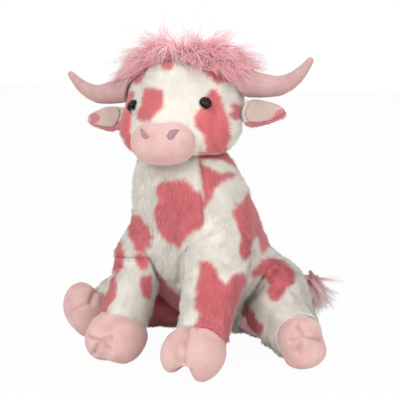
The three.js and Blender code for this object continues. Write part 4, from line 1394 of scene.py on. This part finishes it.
# spread, curl and wide, a hair's radius, are in mm, and shortest is a share of the guide
def hairs_along(guide, count, spread, curl, wide, shortest=0.7):
    found = []
    last = len(guide) - 1
    along = (guide[-1] - guide[0]).normalized()
    for number in range(count):
        around = Vector(rng.normal(0, 1, 3)) * spread * mm
        turns, start, reach = rng.uniform(0.5, 1.4), rng.uniform(0, 6.3), rng.uniform(shortest, 1.0)
        side = along.cross(Vector(rng.normal(0, 1, 3))).normalized()
        other = along.cross(side)
        points, widths = [], []
        for k in range(last + 1):
            t = k / last * reach
            low = min(int(t * last), last - 1)
            base = guide[low].lerp(guide[low + 1], t * last - low)
            wave = curl * mm * math.sin(math.pi * min(t * 1.4, 1) / 2)
            angle = start + turns * full_turn * t
            curled = side * wave * math.cos(angle) + other * wave * math.sin(angle)
            points.append(base + around * (0.6 + 0.5 * t) + curled)
            widths.append(wide * mm * (1 - 0.8 * k / last))
        found.append((points, widths))
    return found


test_lock = lock_path((0, -0.15, 0.36), (0, -1, 0.5), 40, 1.0, 1.0, 0.0)
print("a lock of", len(test_lock), "points reaches", round((test_lock[-1] - test_lock[0]).length / mm), "mm")

# %% [markdown]
# ## Forelock
# The strip is sewn on as an oval over the crown. The hairs between its middle and its sides stand up most and then
# fall outwards, and those in front are shorter, so that the face stays free. A thick underlayer fills the form, and
# a finer one over it breaks the outline.

# %% Forelock
crown, crown_half = np.array((1, -119)), np.array((61, 34))  # middle and half size of the oval, in mm
above_head = 460  # mm
front_edge, front_round = -0.66, 0.4  # the oval is cut off in front, most of all in its middle
root_depth = 2 * mm


def scalp_at(spot):
    x, y = crown + spot * crown_half
    return head_tree.ray_cast(Vector((x, y, above_head)) * mm, Vector((0, 0, -1)))[0]


# up is how steeply the hairs leave the head, and low and high are the shortest and longest lock in mm
def crown_guides(count, up, low, high, swirl, droop):
    guides = []
    for clump in range(count):
        spot = rng.uniform(-1, 1, 2)
        while spot @ spot > 1:
            spot = rng.uniform(-1, 1, 2)
        spot[1] = max(spot[1], front_edge - front_round * abs(spot[0]))
        beside = 1 - 2 * abs(abs(spot[0]) - 0.5)
        way = Vector((spot[0] * 1.25, spot[1] * 0.8 - 0.05, up * (0.4 + 1.1 * beside)))
        way = way + Vector(rng.normal(0, 0.2, 3))
        length = rng.uniform(low, high) * (0.82 + 0.25 * beside + 0.4 * abs(spot[0]) - 0.45 * max(0, -spot[1]))
        root = scalp_at(spot) - Vector((0, 0, root_depth))
        clear = 4 + 9 * beside * (1 - spot @ spot)
        guides.append(lock_path(root, way, length, droop, swirl, clump * 0.13, clear=clear))
    return guides


under_guides = crown_guides(160, up=0.3, low=30, high=40, swirl=0.9, droop=1.2)
under = [hair for guide in under_guides for hair in hairs_along(guide, 13, 3.2, 1.6, 0.5)]
over_guides = crown_guides(220, up=0.42, low=37, high=50, swirl=1.1, droop=1.25)
over = [hair for guide in over_guides for hair in hairs_along(guide, 13, 2.6, 2.0, 0.3)]
hair_middle = Vector((1, -65, 315)) * mm
forelock = [
    strands("forelock_under", under, long_pile, around=hair_middle),
    strands("forelock_over", over, long_pile, around=hair_middle),
]
print("forelock hairs", len(under), "under and", len(over), "over")

# %% [markdown]
# ## Loose curls
# A few pale curls fall over the forehead, and thin stray hairs stand above the rest. They are what makes the tuft
# look like hair, so each one is drawn on its own.

# %% Pale curls and stray hairs
# point in the picture, and the side to which the curl falls
curl_roots = [
    (148, 46, -1), (151, 44, 1), (155, 45, -1), (160, 46, 1), (166, 46, -1), (172, 44, 1), (190, 46, 1),
    (198, 48, 1), (206, 52, 1), (214, 56, 1), (222, 58, 1), (140, 50, -1), (229, 60, 1), (134, 56, -1),
]
curls_each, strays = 3, 46
below_tuft, curl_lift = 14, Vector((0, -14, 18)) * mm  # pixels down to the scalp, and from there out of the tuft
if_missed = Vector((0, -150, 360)) * mm
pale = []
for x, y, sway in curl_roots:
    for number in range(curls_each):
        root = on_skin(head_tree, x + rng.uniform(-3, 3), y + below_tuft) or if_missed
        root = root + curl_lift + Vector(rng.normal(0, 2, 3)) * mm
        way = Vector((0.5 * sway, -0.4, -0.4)) + Vector(rng.normal(0, 0.3, 3))
        guide = lock_path(root, way, rng.uniform(30, 46), 1.8, 5.0, x * 0.3 + number, steps=14, clear=6)
        pale += hairs_along(guide, 1, 0.4, 2.6, 0.36)
for number in range(strays):
    spot = rng.uniform(-1, 1, 2) * (0.8, 0.6)
    way = Vector((spot[0] * 1.1, spot[1] * 0.5, 1.0)) + Vector(rng.normal(0, 0.25, 3))
    guide = lock_path(scalp_at(spot), way, rng.uniform(48, 66), 0.35, 1.2, number * 0.7)
    pale += hairs_along(guide, 1, 0.5, 1.2, 0.24)
forelock.append(strands("forelock_stray", pale, pale_pile, around=hair_middle))
print("pale hairs", len(pale))

# %% [markdown]
# ## Tail tuft
# The tail ends in a tuft of the same pile, bound at its root, that opens like a brush and hangs to just above the
# floor. Its locks are drawn like those of the forelock, but they have no head to slide over.

# %% Tail tuft
tuft_root, tuft_end = Vector((101, 60, 64)) * mm, Vector((116, 48, 18)) * mm
tail_lock_count, tail_steps, tail_wave = 60, 7, 16 * mm
tail_locks = []
for clump in range(tail_lock_count):
    heading = ((tuft_end - tuft_root).normalized() + Vector(rng.normal(0, 0.36, 3))).normalized()
    place = tuft_root + Vector(rng.normal(0, 3.2, 3)) * mm
    guide, length = [place.copy()], rng.uniform(40, 54)
    for step in range(tail_steps):
        heading = (heading + noise.noise_vector(place / tail_wave + Vector((clump, 0, 0))) * 0.22).normalized()
        place = place + heading * length / tail_steps * mm
        guide.append(place.copy())
    tail_locks += hairs_along(guide, 16, 1.6, 1.6, 0.34)
tail_hair = strands("tail_hair", tail_locks, tail_pile, around=(tuft_root + tuft_end) / 2)
for piece in (*forelock, tail_hair):
    places = mesh_places(piece.data) / mm
    print(piece.name, "from", places.min(axis=0).round(1), "to", places.max(axis=0).round(1))

# %% [markdown]
# ## What each piece stands for, and what it moves with
# The skins, hairs and stitches replace the plain solids of the frame. A skin that is sewn over a joint keeps its
# place with its transform built into its points, and everything else rides on one body.

# %% Declarations
def declare(piece, nodes, body=None, bend=None):
    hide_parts(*nodes)
    if bend:
        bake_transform(piece)
    else:
        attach(piece, body)


# where the cloth begins and ends to bend over a joint, in mm
neck = ((0, -124, 200), (0, -124, 250))
tail_root = ((0, 49.9, 56), (30, 54, 56))
leg_lines = {
    "front_leg_left": ((50, -108, 172), (50, -150, 105)),
    "front_leg_right": ((-42, -108, 172), (-55, -140, 105)),
    "hind_leg_left": ((60, -22, 60.5), (108, -72, 44)),
    "hind_leg_right": ((-60, -22, 60.5), (-104, -72, 44)),
}
ear_lines = {
    "left": ((84.7, -132, 298.2), (99.7, -132, 298.2)),
    "right": ((-83.4, -132, 287.9), (-98.4, -132, 287.9)),
}
declare(plush["torso"], ["torso"], bend=("torso", "head", *neck))
declare(plush["head"], ["head"], body="head")
declare(velboa["muzzle"], ["muzzle"], body="head")
for piece in forelock:
    declare(piece, ["forelock"], body="head")
declare(plush["tail"], ["tail"], bend=("torso", "tail", *tail_root))
declare(tail_hair, ["tail_tuft"], body="tail")
for side in ("left", "right"):
    for part in ("front", "hind"):
        leg, hoof = f"{part}_leg_{side}", f"{part}_hoof_{side}"
        declare(plush[leg], [leg], bend=("torso", leg, *leg_lines[leg]))
        declare(velboa[hoof], [hoof], body=leg)
    ear, lining, horn = f"ear_back_{side}", f"ear_lining_{side}", f"horn_{side}"
    flap = ("head", f"ear_{side}", *ear_lines[side])
    declare(plush[ear], [ear], bend=flap)
    declare(plush[lining], [lining], bend=flap)
    declare(velboa[horn], [horn], body="head")
    declare(eyes[side], [f"eye_{side}"], body="head")
    for thread in nostrils[side]:
        declare(thread, [f"nostril_{side}"], body="head")
hairs_and_threads = [*forelock, tail_hair, *nostrils["left"], *nostrils["right"]]
print("padded skins", len(plush) + len(velboa), "and pieces of hair and thread", len(hairs_and_threads))
